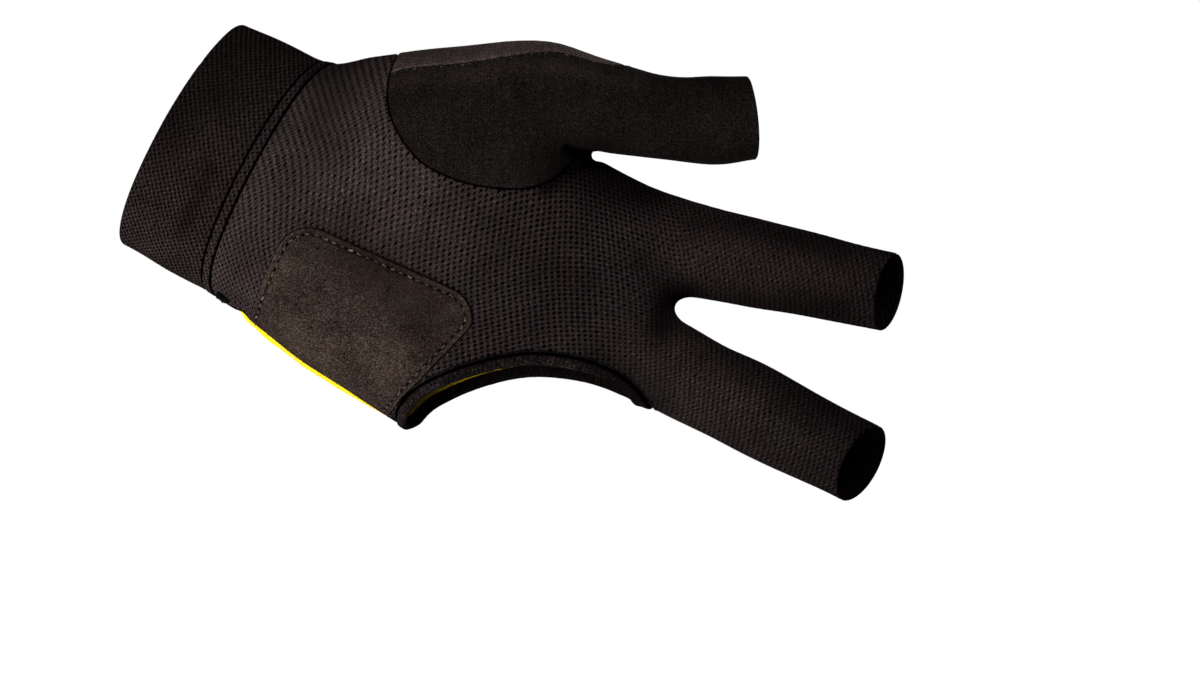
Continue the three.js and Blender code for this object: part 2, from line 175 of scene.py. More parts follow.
def smooth_rows(rows, steps=CURVE_STEPS):
    """Smooth curve through the rows of a table, for every column at once."""
    rows = np.array(rows, float)
    first = 2 * rows[0] - rows[1]
    last = 2 * rows[-1] - rows[-2]
    padded = np.vstack([first, rows, last])
    t = np.arange(steps)[:, None] / steps
    parts = []
    for a, b, c, d in zip(padded, padded[1:], padded[2:], padded[3:]):
        linear = (c - a) * t
        square = (2 * a - 5 * b + 4 * c - d) * t**2
        cube = (3 * b - a - 3 * c + d) * t**3
        parts.append(0.5 * (2 * b + linear + square + cube))
    return np.vstack([*parts, rows[-1:]])


class Limb:
    """Part of the hand's form, made of elliptical sections along a curve."""

    def __init__(self, rows):
        samples = smooth_rows(rows)
        self.centre = samples[:, :3]
        self.reach = samples[:, 3:5]
        self.square = samples[:, 5]
        before = np.vstack([self.centre[:1], self.centre[:-1]])
        after = np.vstack([self.centre[1:], self.centre[-1:]])
        self.along = unit(after - before)
        self.depth_axis = unit(np.cross(self.along, UP))
        self.width_axis = np.cross(self.depth_axis, self.along)

    def distance(self, p):
        """First-order distance outside the limb, negative inside it."""
        closeness = p @ self.centre.T - 0.5 * dot(self.centre, self.centre)
        near = closeness.argmax(1)
        along = dot(p - self.centre[near], self.along[near])
        beyond = near + np.sign(along).astype(int)
        on_curve = (beyond >= 0) & (beyond < len(self.centre))
        other = np.where(on_curve, beyond, near)
        spacing = np.linalg.norm(self.centre[other] - self.centre[near], axis=1)
        share = np.clip(np.abs(along) / np.maximum(spacing, TINY), 0, 1)
        t = np.where(spacing > 0, share, 0)[:, None]

        def mix(values):
            return values[near] * (1 - t) + values[other] * t

        offset = p - mix(self.centre)
        reach = mix(self.reach)
        past = np.where(other == near, np.abs(along), 0)
        u = np.abs(dot(offset, mix(self.width_axis)))
        v = np.abs(dot(offset, mix(self.depth_axis)))
        out = np.stack([u, v, past], 1)
        radius = reach[:, [0, 1, 1]]
        power = self.square[near]
        size = (((out / radius) ** power[:, None]).sum(1) + TINY) ** (1 / power)
        slope = out ** (power[:, None] - 1) / radius ** power[:, None]
        steepness = size ** (1 - power) * np.sqrt((slope**2).sum(1) + 1e-12)
        return (size - 1) / steepness


def join(a, b, softness):
    """Smooth union of two distances."""
    h = np.maximum(softness - np.abs(a - b), 0) / softness
    return np.minimum(a, b) - h * h * softness / 4


limbs = {
    "hand": Limb(HAND),
    "thumb_pad": Limb(THUMB_PAD),
    "heel_pad": Limb(HEEL_PAD),
    "thumb": Limb(THUMB),
    "index": Limb(INDEX_FINGER),
    "middle": Limb(MIDDLE_FINGER),
}


def form(p):
    """Distance outside the surface of the fabric round the hand."""
    if len(p) > CHUNK:
        return np.concatenate([form(p[i : i + CHUNK]) for i in range(0, len(p), CHUNK)])
    web = np.clip((p[:, 0] - THUMB_ROOT_X) / (THUMB_WEB_X - THUMB_ROOT_X), 0, 1)
    thumb_softness = SOFT["thumb_root"] * (1 - web) + SOFT["thumb_web"] * web
    distance = join(limbs["hand"].distance(p), limbs["heel_pad"].distance(p), SOFT["pads"])
    distance = join(distance, limbs["thumb_pad"].distance(p), SOFT["pads"])
    distance = join(distance, limbs["thumb"].distance(p), thumb_softness)
    index = limbs["index"].distance(p)
    fingers = join(index, limbs["middle"].distance(p), SOFT["fingers"])
    return join(distance, fingers, SOFT["knuckles"])


def gradient(p):
    """Slope of the form, from four samples round each point."""
    total = np.zeros_like(p)
    for corner in [(1, -1, -1), (-1, -1, 1), (-1, 1, -1), (1, 1, 1)]:
        way = np.array(corner, float)
        total += form(p + way * GRADIENT_STEP)[:, None] * way
    return total / (4 * GRADIENT_STEP)


def onto_form(p, rounds=1):
    for _ in range(rounds):
        g = gradient(p)
        p = p - g * (form(p) / dot(g, g))[:, None]
    return p


def sums(index, values, count):
    """Adds up the rows of values that share an index."""
    return np.stack([np.bincount(index, column, count) for column in values.T], 1)


def surface_net():
    """Quads of the form: a point in each grid cell that it crosses, a quad round each edge."""
    counts = np.ceil((NET_HIGH - NET_LOW) / NET_CELL).astype(int) + 1
    axes = [NET_LOW[k] + NET_CELL * np.arange(counts[k]) for k in range(3)]
    grid = np.stack(np.meshgrid(*axes, indexing="ij"), -1)
    value = form(grid.reshape(-1, 3)).reshape(counts)
    rings = []
    crossings = []
    for axis in range(3):
        step = np.eye(3, dtype=int)[axis]
        here = value[tuple(slice(0, n - s) for n, s in zip(counts, step))]
        ahead = value[tuple(slice(s, n) for n, s in zip(counts, step))]
        index = np.argwhere((here < 0) != (ahead < 0))
        index = index[((index > 0) & (index < counts - 1)).all(1)]
        a = here[tuple(index.T)]
        b = ahead[tuple(index.T)]
        crossings.append(NET_LOW + NET_CELL * (index + step * (a / (a - b))[:, None]))
        u = np.eye(3, dtype=int)[(axis + 1) % 3]
        v = np.eye(3, dtype=int)[(axis + 2) % 3]
        corners = [index - u - v, index - v, index, index - u]
        ring = np.stack([np.ravel_multi_index(c.T, counts) for c in corners], 1)
        ring[a >= 0] = ring[a >= 0][:, ::-1]
        rings.append(ring)
    rings = np.vstack(rings)
    crossings = np.repeat(np.vstack(crossings), 4, axis=0)
    cells, quads = np.unique(rings.ravel(), return_inverse=True)
    totals = sums(quads, crossings, len(cells))
    points = totals / np.bincount(quads)[:, None]
    return points, quads.reshape(-1, 4)


def quad_edges(quads):
    """Every edge once, and the edge numbers of each quad's sides."""
    sides = np.stack([quads, np.roll(quads, -1, 1)], 2).reshape(-1, 2)
    edges, number = np.unique(np.sort(sides, 1), axis=0, return_inverse=True)
    return edges, number.reshape(-1, 4)


def relax(points, quads):
    """Evens out the mesh, with every point kept on the form."""
    edges, _ = quad_edges(quads)
    start = np.concatenate([edges[:, 0], edges[:, 1]])
    end = np.concatenate([edges[:, 1], edges[:, 0]])
    degree = np.bincount(start, minlength=len(points))[:, None]
    for _ in range(RELAXATIONS):
        middle = sums(start, points[end], len(points)) / degree
        points = onto_form(0.5 * (points + middle))
    return points


def refine(quads, values):
    """Cuts each quad in four, with the values of every point carried along."""
    edges, sides = quad_edges(quads)
    count = len(values)
    halves = (values[edges[:, 0]] + values[edges[:, 1]]) / 2
    middles = values[quads].mean(1)
    half = sides + count
    middle = np.arange(len(quads)) + count + len(edges)
    finer = [
        np.stack([quads[:, k], half[:, k], middle, half[:, k - 1]], 1) for k in range(4)
    ]
    return np.vstack(finer), np.vstack([values, halves, middles])


def left_of(rows):
    """Signed distance to a curve in the x-z plane, positive on its left."""
    curve = smooth_rows(rows)
    start = curve[:-1]
    step = curve[1:] - start

    def distance(p):
        flat = p[:, [0, 2]]
        least = np.full(len(p), np.inf)
        signed = np.zeros(len(p))
        for a, d in zip(start, step):
            t = np.clip((flat - a) @ d / (d @ d), 0, 1)
            off = flat - a - t[:, None] * d
            away = np.hypot(off[:, 0], off[:, 1])
            side = np.where(d[0] * off[:, 1] - d[1] * off[:, 0] < 0, -away, away)
            nearer = away < least
            least = np.where(nearer, away, least)
            signed = np.where(nearer, side, signed)
        return signed

    return distance


def round_the_hand(palm_rows, back_rows):
    """A curve that goes one way over the palm and another over the back."""
    palm = left_of(palm_rows)
    back = left_of(back_rows)

    def distance(p, n):
        turn = np.clip(0.5 + TURN_RATE * n[:, 1], 0, 1)
        return palm(p) * (1 - turn) + back(p) * turn

    return distance


def past_plane(p, plane):
    return p[:, 0] - plane["x"] - plane["lean"] * p[:, 1] - plane["slope"] * p[:, 2]


def before_sleeve_ends(p):
    least = np.full(len(p), float(SLEEVE_END_REACH))
    for end, faces in SLEEVE_ENDS:
        offset = p - np.array(end)
        near = np.linalg.norm(offset, axis=1) <= SLEEVE_END_REACH
        least = np.where(near, np.minimum(least, -(offset @ np.array(faces))), least)
    return least


def behind_side_seam(p):
    return p[:, 1] - SIDE_SEAM["y"] - SIDE_SEAM["slope"] * p[:, 0]


def inside_pad(p):
    half_x = (PAD["right"] - PAD["left"]) / 2 - PAD["corner"]
    half_z = (PAD["top"] - PAD["bottom"]) / 2 - PAD["corner"]
    middle = (PAD["left"] + PAD["right"]) / 2
    slant = PAD_SLANT["rate"] * np.maximum(0, PAD_SLANT["below"] - p[:, 2])
    x = np.abs(p[:, 0] + np.where(p[:, 0] > middle, slant, 0) - middle) - half_x
    z = np.abs(p[:, 2] - (PAD["top"] + PAD["bottom"]) / 2) - half_z
    outside = np.hypot(np.maximum(x, 0), np.maximum(z, 0))
    return PAD["corner"] - outside - np.minimum(np.maximum(x, z), 0)


on_thumb = round_the_hand(THUMB_SEAM_PALM, THUMB_SEAM_BACK)
on_strip = round_the_hand(STRIP_SEAM_PALM, STRIP_SEAM_BACK)
inside_opening = round_the_hand(OPENING_PALM, OPENING_BACK)
below_panel_edge = left_of(BACK_PANEL_EDGE)
SIDE_RADIUS = 10


def measures(p, n):
    """How far each point is inside each seam, in millimetres."""
    thumb = on_thumb(p, n)
    strip = on_strip(p, n)
    opening = inside_opening(p, n)
    past_cuff = past_plane(p, CUFF_SEAM)
    behind = behind_side_seam(p)
    half = SIDE_SEAM["half_width"]
    half_behind = SIDE_SEAM["back_width"]
    edge = below_panel_edge(p)
    return {
        "past_wrist": past_plane(p, WRIST_OPENING) - FREE_INSET,
        "before_cuff_seam": -past_cuff,
        "past_cuff_seam": past_cuff,
        "within_band": BAND_WIDTH - past_cuff,
        "past_band": past_cuff - BAND_WIDTH,
        "on_thumb": thumb,
        "off_thumb": -thumb,
        "on_strip": strip,
        "off_strip": -strip,
        "before_ends": before_sleeve_ends(p) - FREE_INSET,
        "in_opening": opening - FREE_INSET,
        "within_binding": BINDING_WIDTH - opening,
        "past_binding": opening - BINDING_WIDTH,
        "off_back_panel": -np.minimum(behind + half, edge),
        "below_panel_edge": edge,
        "behind_seam": behind - half_behind,
        "before_seam": -behind - half,
        "seam_front": half + behind,
        "seam_back": half_behind - behind,
        "low_side": SIDE_SEAM["lowest_z"] - p[:, 2],
        "in_pad": inside_pad(p) - FREE_INSET,
        "side": n[:, 1] * SIDE_RADIUS,
    }


# Knit lattices: x and z of a place, then the angle across the columns and their pitch, and
# the angle across the rows and their pitch
BODY_KNIT = [
    (25, -3, 36, 1.60, -44, 1.00),
    (30, 14, 48, 1.80, -37, 0.90),
    (33, -8, 23, 1.50, -46, 1.05),
    (31, -26, 44, 1.22, -46, 1.05),
    (35, 16.5, 50, 1.82, -34, 0.82),
    (46, 1, 14, 1.50, -43, 1.30),
    (54, 3.5, 9, 1.50, -42, 1.85),
    (61, 10, 11, 1.72, -53, 2.60),
    (68, 7, 10, 1.50, -55, 1.75),
    (76, 6, 15, 1.45, -55, 1.27),
    (90, 12, 22, 1.45, -58, 1.09),
    (95, -5, 33, 1.58, -55, 1.05),
    (110, 2, 32, 1.50, -71, 0.95),
    (103, 28, 37, 1.12, -88, 1.14),
    (118, 22, 36, 1.15, -92, 1.10),
    (119, 12, 34, 1.30, -92, 0.94),
    (131, 27, 30, 1.12, -48, 1.12),
    (156, 31, 32, 1.28, -40, 1.10),
    (172, 32, 33, 1.28, -38, 1.10),
    (139, 1, 22, 1.30, -61, 0.95),
    (154, -1, 14, 1.35, -58, 1.10),
    (178, -4, 12, 1.22, -53, 1.08),
]
CUFF_KNIT = [
    (6, -3, 31, 1.15, -54, 1.05),
    (3, -20, 36, 1.08, -61, 1.05),
    (9, 16, 30, 1.20, -64, 0.98),
    (20, -26, 40, 1.12, -62, 1.06),
]
THUMB_JERSEY = [(60, 30, 24, 0.56, -66, 0.56), (120, 52, 24, 0.56, -66, 0.56)]
BACK_JERSEY = [(40, -20, 8, 0.45, -82, 0.45), (90, -30, 14, 0.45, -76, 0.45)]
PLACE_REACH = 7.0
LATTICE_MARGIN = 4.0
HALF_OVERLAP = 3.5
SOLVER_ROUNDS = 700
SOLVER_TARGET = 1e-5


def wave_at(table, p, n, angle_column):
    """Waves per millimetre along the surface, mixed from the table's places."""
    rows = np.array(table, float)
    away = ((p[:, None, [0, 2]] - rows[None, :, :2]) ** 2).sum(2)
    weight = 1 / (away + PLACE_REACH**2) ** 2
    weight /= weight.sum(1, keepdims=True)
    angle = np.radians(rows[:, angle_column])
    rate = 1 / rows[:, angle_column + 1]
    flat = np.stack([np.cos(angle), np.zeros(len(rows)), np.sin(angle)], 1)
    wave = unit(weight @ flat)
    wave = unit(wave - dot(wave, n)[:, None] * n)
    return wave * (weight @ rate)[:, None]


def solve_phase(p, edges, wave):
    """The phase whose change along every edge is closest to the wave's."""
    a, b = edges.T
    wanted = dot(p[b] - p[a], (wave[a] + wave[b]) / 2)
    count = len(p)

    def spread(along):
        return np.bincount(b, along, count) - np.bincount(a, along, count)

    degree = np.maximum(np.bincount(edges.ravel(), minlength=count), 1)
    phase = np.zeros(count)
    residual = spread(wanted)
    ready = residual / degree
    way = ready.copy()
    energy = residual @ ready
    first = energy
    for _ in range(SOLVER_ROUNDS):
        push = spread(way[b] - way[a])
        length = energy / max(way @ push, TINY)
        phase += length * way
        residual -= length * push
        ready = residual / degree
        fresh = residual @ ready
        if fresh < SOLVER_TARGET**2 * first:
            break
        way = ready + way * (fresh / energy)
        energy = fresh
    return phase


def lattice(p, n, quads, member, table):
    """Column and row phases of a fabric, on its palm half and on its back half."""
    result = np.zeros((len(p), 4))
    near = member > -LATTICE_MARGIN
    side = n[:, 1] * SIDE_RADIUS
    for first, half in [(0, side < HALF_OVERLAP), (2, side > -HALF_OVERLAP)]:
        chosen = near & half
        faces = quads[chosen[quads].all(1)]
        edges, _ = quad_edges(faces)
        for k, angle_column in enumerate([2, 4]):
            wave = wave_at(table, p, n, angle_column)
            result[:, first + k] = solve_phase(p, edges, wave)
    return result


class Sheet:
    """Triangles on the form, with named values at every point."""

    def __init__(self, values, triangles, back):
        self.values = values
        self.triangles = triangles
        self.back = back

    def __getitem__(self, name):
        return self.values[name]

    def kept(self, faces):
        """Only the chosen triangles, with the points that they use."""
        used, triangles = np.unique(self.triangles[faces], return_inverse=True)
        values = {name: value[used] for name, value in self.values.items()}
        return Sheet(values, triangles.reshape(-1, 3), self.back[faces])


def split(sheet, level):
    """Cuts triangles where the level is zero. Also gives the faces above and the cut lines."""
    tri = sheet.triangles
    above = (level > 0)[tri]
    count = above.sum(1)
    mixed = (count == 1) | (count == 2)
    lone_above = count == 1
    lone = np.argmax(above == lone_above[:, None], axis=1)[mixed]
    cut = tri[mixed]
    row = np.arange(len(cut))
    a = cut[row, lone]
    b = cut[row, (lone + 1) % 3]
    c = cut[row, (lone + 2) % 3]
    pairs = np.sort(np.vstack([np.stack([a, b], 1), np.stack([a, c], 1)]), 1)
    edges, number = np.unique(pairs, axis=0, return_inverse=True)
    number = number.ravel()
    low, high = edges.T
    gap = level[low] - level[high]
    t = np.clip(level[low] / np.where(gap == 0, 1, gap), CUT_MARGIN, 1 - CUT_MARGIN)
    values = {}
    for name, value in sheet.values.items():
        share = t if value.ndim == 1 else t[:, None]
        added = value[low] * (1 - share) + value[high] * share
        values[name] = np.concatenate([value, added])
    values["n"] = unit(values["n"])
    total = len(level)
    ab = total + number[: len(cut)]
    ac = total + number[len(cut) :]
    triangles = np.vstack(
        [
            tri[~mixed],
            np.stack([a, ab, ac], 1),
            np.stack([ab, b, c], 1),
            np.stack([ab, c, ac], 1),
        ]
    )
    side = lone_above[mixed]
    faces_above = np.concatenate([count[~mixed] == 3, side, ~side, ~side])
    back = sheet.back
    new_back = np.concatenate([back[~mixed], back[mixed], back[mixed], back[mixed]])
    lines = np.stack([ab, ac], 1)
    return Sheet(values, triangles, new_back), faces_above, lines


def cut_away(sheet, level):
    """The part of the sheet where the level is above zero."""
    whole, above, _ = split(sheet, level)
    return whole.kept(above)


def chains(lines):
    """Joins two-point lines into long ones, each a list of point numbers."""
    links = {}
    for i, j in lines.tolist():
        links.setdefault(i, []).append(j)
        links.setdefault(j, []).append(i)
    left = dict.fromkeys(sorted(links, key=lambda i: len(links[i])))
    found = []
    while left:
        chain = [next(iter(left))]
        del left[chain[0]]
        ahead = True
        while ahead:
            ahead = [j for j in links[chain[-1]] if j in left]
            if ahead:
                chain.append(ahead[0])
                del left[ahead[0]]
        if len(chain) > 2 and chain[0] in links[chain[-1]]:
            chain.append(chain[0])
        found.append(chain)
    return found


def between(s, at, values):
    """Values at s, between those that are given at some places."""
    return np.stack([np.interp(s, at, column) for column in values.T], -1)


class Line:
    """A line along the surface with even steps, and its normals."""

    STEP = 0.4
    SMOOTHING = 6

    def __init__(self, points, normals):
        self.closed = np.allclose(points[0], points[-1])
        for _ in range(self.SMOOTHING):
            points = self.eased(points)
            normals = self.eased(normals)
        along = np.linalg.norm(np.diff(points, axis=0), axis=1)
        length = np.concatenate([[0], np.cumsum(along)])
        self.length = length[-1]
        count = max(int(self.length / self.STEP), 2) + 1
        self.at = np.linspace(0, self.length, count)
        self.points = between(self.at, length, points)
        self.normals = unit(between(self.at, length, normals))

    def eased(self, values):
        middle = (values[:-2] + 2 * values[1:-1] + values[2:]) / 4
        ends = values[[0, -1]]
        if self.closed:
            joint = (values[-2] + 2 * values[0] + values[1]) / 4
            ends = np.stack([joint, joint])
        return np.vstack([ends[:1], middle, ends[1:]])

    def place(self, s):
        """Point, normal and direction at a distance along the line."""
        point, ahead, behind = [
            between(s + step, self.at, self.points) for step in (0, self.STEP, -self.STEP)
        ]
        return point, unit(between(s, self.at, self.normals)), unit(ahead - behind)

    def distance_along(self, p):
        """How far along the line each point lies."""
        half_square = 0.5 * dot(self.points, self.points)
        parts = [p[i : i + LINE_CHUNK] for i in range(0, len(p), LINE_CHUNK)]
        nearest = np.concatenate([(q @ self.points.T - half_square).argmax(1) for q in parts])
        ahead = unit(np.gradient(self.points, axis=0))
        return self.at[nearest] + dot(p - self.points[nearest], ahead[nearest])


def trace(sheet, level):
    """The longest line of a sheet where the level is zero."""
    whole, _, lines = split(sheet, level)
    made = [Line(whole["p"][c], whole["n"][c]) for c in chains(lines) if len(c) > SHORT_CHAIN]
    return max(made, key=lambda line: line.length)


# How a panel ends at a border: how far in the rounding starts, how far the outside comes
# down there, how far the inside comes up, and how much wider than usual its dark groove is. The
# groove is dark in the colour: painted shade in the seam, partly the dark seam itself
NO_GROOVE = 9.0
# The inside of every wall is darker: partly painted shade, partly the duller inner face of the
# cloth
INNER_SHADE_AND_DULLNESS = 0.6
Border = namedtuple("Border", "radius drop rise groove")
SEWN = Border(0.7, 0.75, 0.0, 0.04)
DEEP_SEWN = Border(0.8, 0.85, 0.0, -0.05)
PIPED = Border(0.8, 0.8, 0.0, 0.62)
FLAT_SEWN = Border(0.45, 0.45, 0.0, 0.0)
TAPE_SEWN = Border(0.55, 0.85, 0.0, 0.0)
STITCHED = Border(0.4, 0.35, 0.0, -NO_GROOVE)
FREE_KNIT = Border(0.5, 0.45, 0.45, -NO_GROOVE)
FREE_CUFF = Border(0.9, 0.8, 0.8, -NO_GROOVE)
FREE_TAPE = Border(1.1, 1.05, 1.05, -NO_GROOVE)
LAPPED = Border(0.6, 0.65, 0.0, -0.06)
LAPPED_SEAM = Border(0.6, 0.65, 0.0, 0.15)
PIPED_PAD = Border(0.6, 0.65, 0.0, 0.6)
BOUND = Border(0.9, 1.2, 0.0, 0.0)
OVERLOCKED = Border(0.5, 0.6, 0.0, -NO_GROOVE)
ROLL_STEPS = (0.12, 0.35, 0.65, 1.0)

# Panels: the nodes that each replaces, its slot, the lattice that its texture follows, how far
# its wall reaches out and inward from the form, its borders, the line that its texture and
# stitches follow, its creases (measure, offset, half width, depth), the border where it thins
# out (measure, reach, depth), and whether it swells out
Panel = namedtuple(
    "Panel",
    "replaces slot lattice out inward borders line creases taper bulges",
    defaults=(None, (), None, False),
)
PAD_ROW = 1.7
CREASE_STEPS = (-1.4, -0.6, 0.6, 1.4)
SIDE_CREASE = ("side", 0.0, 0.5, 0.35)
PANELS = {
    "knit_body": Panel(
        ["mesh_body", "index_sleeve", "middle_sleeve"], "open_knit", "body", 0.0, 1.1,
        {
            "past_band": SEWN, "past_binding": PIPED, "off_thumb": DEEP_SEWN,
            "off_back_panel": SEWN, "before_ends": FREE_KNIT,
        },
        creases=[SIDE_CREASE],
    ),
    "cuff_knit": Panel(
        ["cuff"], "cuff_knit", "cuff", 0.2, 1.5,
        {"past_wrist": FREE_CUFF, "before_cuff_seam": SEWN},
        creases=[SIDE_CREASE],
    ),
    "cuff_seam_tape": Panel(
        ["cuff_seam_band"], "seam_tape", "cuff", 0.3, 1.4,
        {"past_cuff_seam": TAPE_SEWN, "within_band": TAPE_SEWN},
        line=("past_cuff_seam", BAND_WIDTH / 2),
    ),
    "thumb_jersey": Panel(
        ["thumb_sleeve"], "smooth_stretch", "thumb", 0.1, 1.1,
        {"on_thumb": DEEP_SEWN, "off_strip": STITCHED, "before_ends": FREE_KNIT},
        line=("off_strip", 0.6),
    ),
    "thumb_strip": Panel(
        ["thumb_back_strip"], "pale_stretch", "thumb", 0.1, 1.1,
        {"on_thumb": SEWN, "on_strip": STITCHED},
    ),
    "suede_pad": Panel(
        ["heel_patch"], "suede", "body", 0.8, -0.1,
        {"in_pad": LAPPED, "before_seam": LAPPED_SEAM, "past_binding": PIPED_PAD},
        line=("in_pad", PAD_ROW),
        creases=[("in_pad", PAD_ROW, 0.45, 0.26)],
        taper=("before_seam", 6.0, 0.6),
    ),
    "yellow_back": Panel(
        ["back_panel"], "yellow_stretch", "back", 0.1, 1.1,
        {
            "behind_seam": FLAT_SEWN, "below_panel_edge": SEWN, "past_band": SEWN,
            "past_binding": SEWN,
        },
        bulges=True,
    ),
    "edge_binding": Panel(
        ["opening_binding"], "seam_tape", "body", 0.7, 1.4,
        {"in_opening": FREE_TAPE, "within_binding": BOUND},
        line=("in_opening", BINDING_WIDTH / 2),
    ),
    "side_seam_ridge": Panel(
        ["side_seam"], "seam_thread", "back", 0.25, 1.1,
        {
            "low_side": FLAT_SEWN, "seam_back": OVERLOCKED, "seam_front": OVERLOCKED,
            "past_band": FLAT_SEWN, "past_binding": FLAT_SEWN,
        },
        line=("seam_front", SIDE_SEAM["half_width"]),
    ),
}

# Folds: half the width of each, how far it sinks, and its curve of x and z on the palm side
FOLDS = [
    (1.0, 1.5, [(91.0, 33.4), (93.5, 33.7), (96, 34.4), (98, 35.2)]),
    (1.1, 0.35, [(93.5, 37.6), (97, 37.8), (101, 38.8)]),
    (1.6, 0.4, [(98, 33.5), (92, 29), (88, 24)]),
    (1.5, 0.35, [(13.4, -5), (13.1, -14), (12.4, -25)]),
    (5.0, 1.0, [(85, 61), (93, 60.5), (101, 61.5)]),
    (1.8, 1.1, [(33.2, -33), (33.6, -38), (33.4, -44)]),
]
# Painted light and shade on the cloth: painted shadows in the webs, folds and finger edges, light
# and shade across the cuff, and painted sheen along the thumb's top. Half the width of each, how
# much of the cloth's brightness it takes away, or adds where it is below zero, and its curve of x
# and z on the palm side
PAINTED_LIGHT_AND_SHADE = [
    (1.1, 0.9, [(91.2, 33.3), (93.5, 33.6), (96, 34.2), (98, 35)]),
    (2.1, 0.75, [(90, 22.4), (93, 28.4), (95.4, 31.4), (98.5, 33.8)]),
    (5.0, 0.45, [(99, 34), (106, 33), (114, 34)]),
    (4.0, 0.3, [(97, 27.5), (103.5, 28.5), (112, 30)]),
    (3.0, 0.5, [(132, 13.5), (128, 9), (129, 2.5)]),
    (4.4, 0.4, [(118, -10.5), (125, -12), (135, -14.5)]),
    (4.4, 0.37, [(135, 12), (145, 16), (153, 19.5), (165, 23.5)]),
    (4.5, 0.3, [(119, 15), (124, 13.5), (129, 12)]),
    (3.2, 0.3, [(126, 29), (137, 33), (147, 35.5), (160, 37)]),
    (4.0, -0.16, [(150, -5), (162, -7), (172, -8)]),
    (1.7, 0.3, [(13.4, -6), (13.1, -14), (12.4, -24)]),
    (7.0, 0.3, [(-3, -4), (2, 5), (6, 14)]),
    (10.0, -0.14, [(-8, -28), (6, -28), (20, -28)]),
    (6.0, 0.25, [(31, 26), (34, 18), (37, 10)]),
    (5.0, 0.18, [(28, -22), (30, -32)]),
    (7.0, 0.3, [(52, -11), (64, -12.5), (76, -16)]),
    (2.4, -0.55, [(46, 31.2), (56.7, 37.2), (67.5, 42.7), (77.7, 48.9), (90, 51.8), (99.5, 54.6)]),
    (2.2, -0.3, [(65, 44.8), (73, 48.2), (81, 51.6), (88, 53)]),
    (2.0, -0.25, [(54.3, 44.6), (65, 50.5), (76, 56), (89, 57), (99, 58.6)]),
]
# Waves of the cloth: length, the way that they run in degrees, height, and phase
WAVES = [(41.0, 28, 0.16, 0.4), (27.0, 71, 0.10, 2.1), (17.0, -35, 0.06, 4.0)]
WAVE_BEND = 0.3


def marks(rows, p, n):
    """What each row of folds, or of painted light and shade, does to every point."""
    on_palm = np.clip(0.5 - n[:, 1], 0, 1)
    for half_width, depth, curve in rows:
        share = np.abs(left_of(curve)(p)) / half_width
        yield depth * on_palm * np.exp(-(share**2))


def relief(p, n):
    """Soft waves and folds of the cloth, as heights above the form."""
    height = np.zeros(len(p))
    for length, degrees, rise, phase in WAVES:
        angle = math.radians(degrees)
        along = p[:, 0] * math.cos(angle) + p[:, 2] * math.sin(angle)
        bend = WAVE_BEND * length * np.sin(p[:, 1] / length * math.pi)
        height += rise * np.sin((along + bend) / length * 2 * math.pi + phase)
    for mark in marks(FOLDS, p, n):
        height -= mark
    return height


def painted_light_share(p, n):
    """Share of the cloth's brightness that the painted light and shade leave: less in painted
    shadows, more where light is painted on.
    """
    left = np.ones(len(p))
    for mark in marks(PAINTED_LIGHT_AND_SHADE, p, n):
        left *= 1 - mark
    return left


def rolled(distance, radius):
    """Share of the drop at a distance from the border: all of it at the border itself."""
    t = np.clip(1 - distance / radius, 0, 1)
    return 1 - np.sqrt(1 - t**2)


def panel_sheet(surface, spec):
    """The panel's part of the surface, with points along its roundings and creases."""
    sheet = surface
    lines = []
    for name, border in spec.borders.items():
        sheet = cut_away(sheet, sheet[name])
        lines += [(name, border.radius * step) for step in ROLL_STEPS]
    for name, offset, width, _ in spec.creases:
        lines += [(name, offset + width * step) for step in CREASE_STEPS]
        # The whole surface is already cut along the middle of the sides
        if name != "side":
            lines.append((name, offset))
    for name, offset in lines:
        sheet, _, _ = split(sheet, sheet[name] - offset)
    return sheet


def smooth_step(values, low, high):
    t = np.clip((values - low) / (high - low), 0, 1)
    return t * t * (3 - 2 * t)


# The yellow panel swells out beside the side seam: x and height, how far behind the seam it
# has risen, and where it falls again
SIDE_BULGE = [
    (26, 0), (31.5, 0), (34, 1.0), (38, 1.35), (42, 1.72), (47, 1.45), (57, 1.35), (64, 1.22),
    (69, 0.82), (74, 0.4), (79, 0.1), (84, 0),
]
BULGE_RISE = 1.2
BULGE_FALL = (3.5, 12)
BULGE_LOW_SIDE = (14, 26)


def side_bulge(p, behind_seam):
    """How far the cloth swells out behind the side seam."""
    height = np.interp(p[:, 0], *smooth_rows(SIDE_BULGE).T)
    rise = np.sqrt(np.clip(behind_seam / BULGE_RISE, 0, 1))
    fall = 1 - smooth_step(behind_seam, *BULGE_FALL)
    return height * rise * fall * smooth_step(-p[:, 2], *BULGE_LOW_SIDE)


def panel_heights(sheet, spec):
    """Outer and inner heights of the wall, and the distance to the nearest groove."""
    drop = np.zeros(len(sheet["p"]))
    rise = np.zeros(len(drop))
    nearest = np.full(len(drop), NO_GROOVE)
    for name, border in spec.borders.items():
        share = rolled(sheet[name], border.radius)
        drop = np.maximum(drop, border.drop * share)
        rise = np.maximum(rise, border.rise * share)
        nearest = np.minimum(nearest, sheet[name] - border.groove)
    for name, offset, width, depth in spec.creases:
        away = (sheet[name] - offset) / width
        drop = drop + depth * np.exp(-(away**2))
    swell = np.zeros(len(drop))
    if spec.taper:
        name, reach, depth = spec.taper
        drop = np.maximum(drop, depth * (1 - smooth_step(sheet[name], 0, reach)))
    if spec.bulges:
        swell = side_bulge(sheet["p"], sheet["behind_seam"])
    return spec.out + swell - drop, -spec.inward + rise + swell, nearest


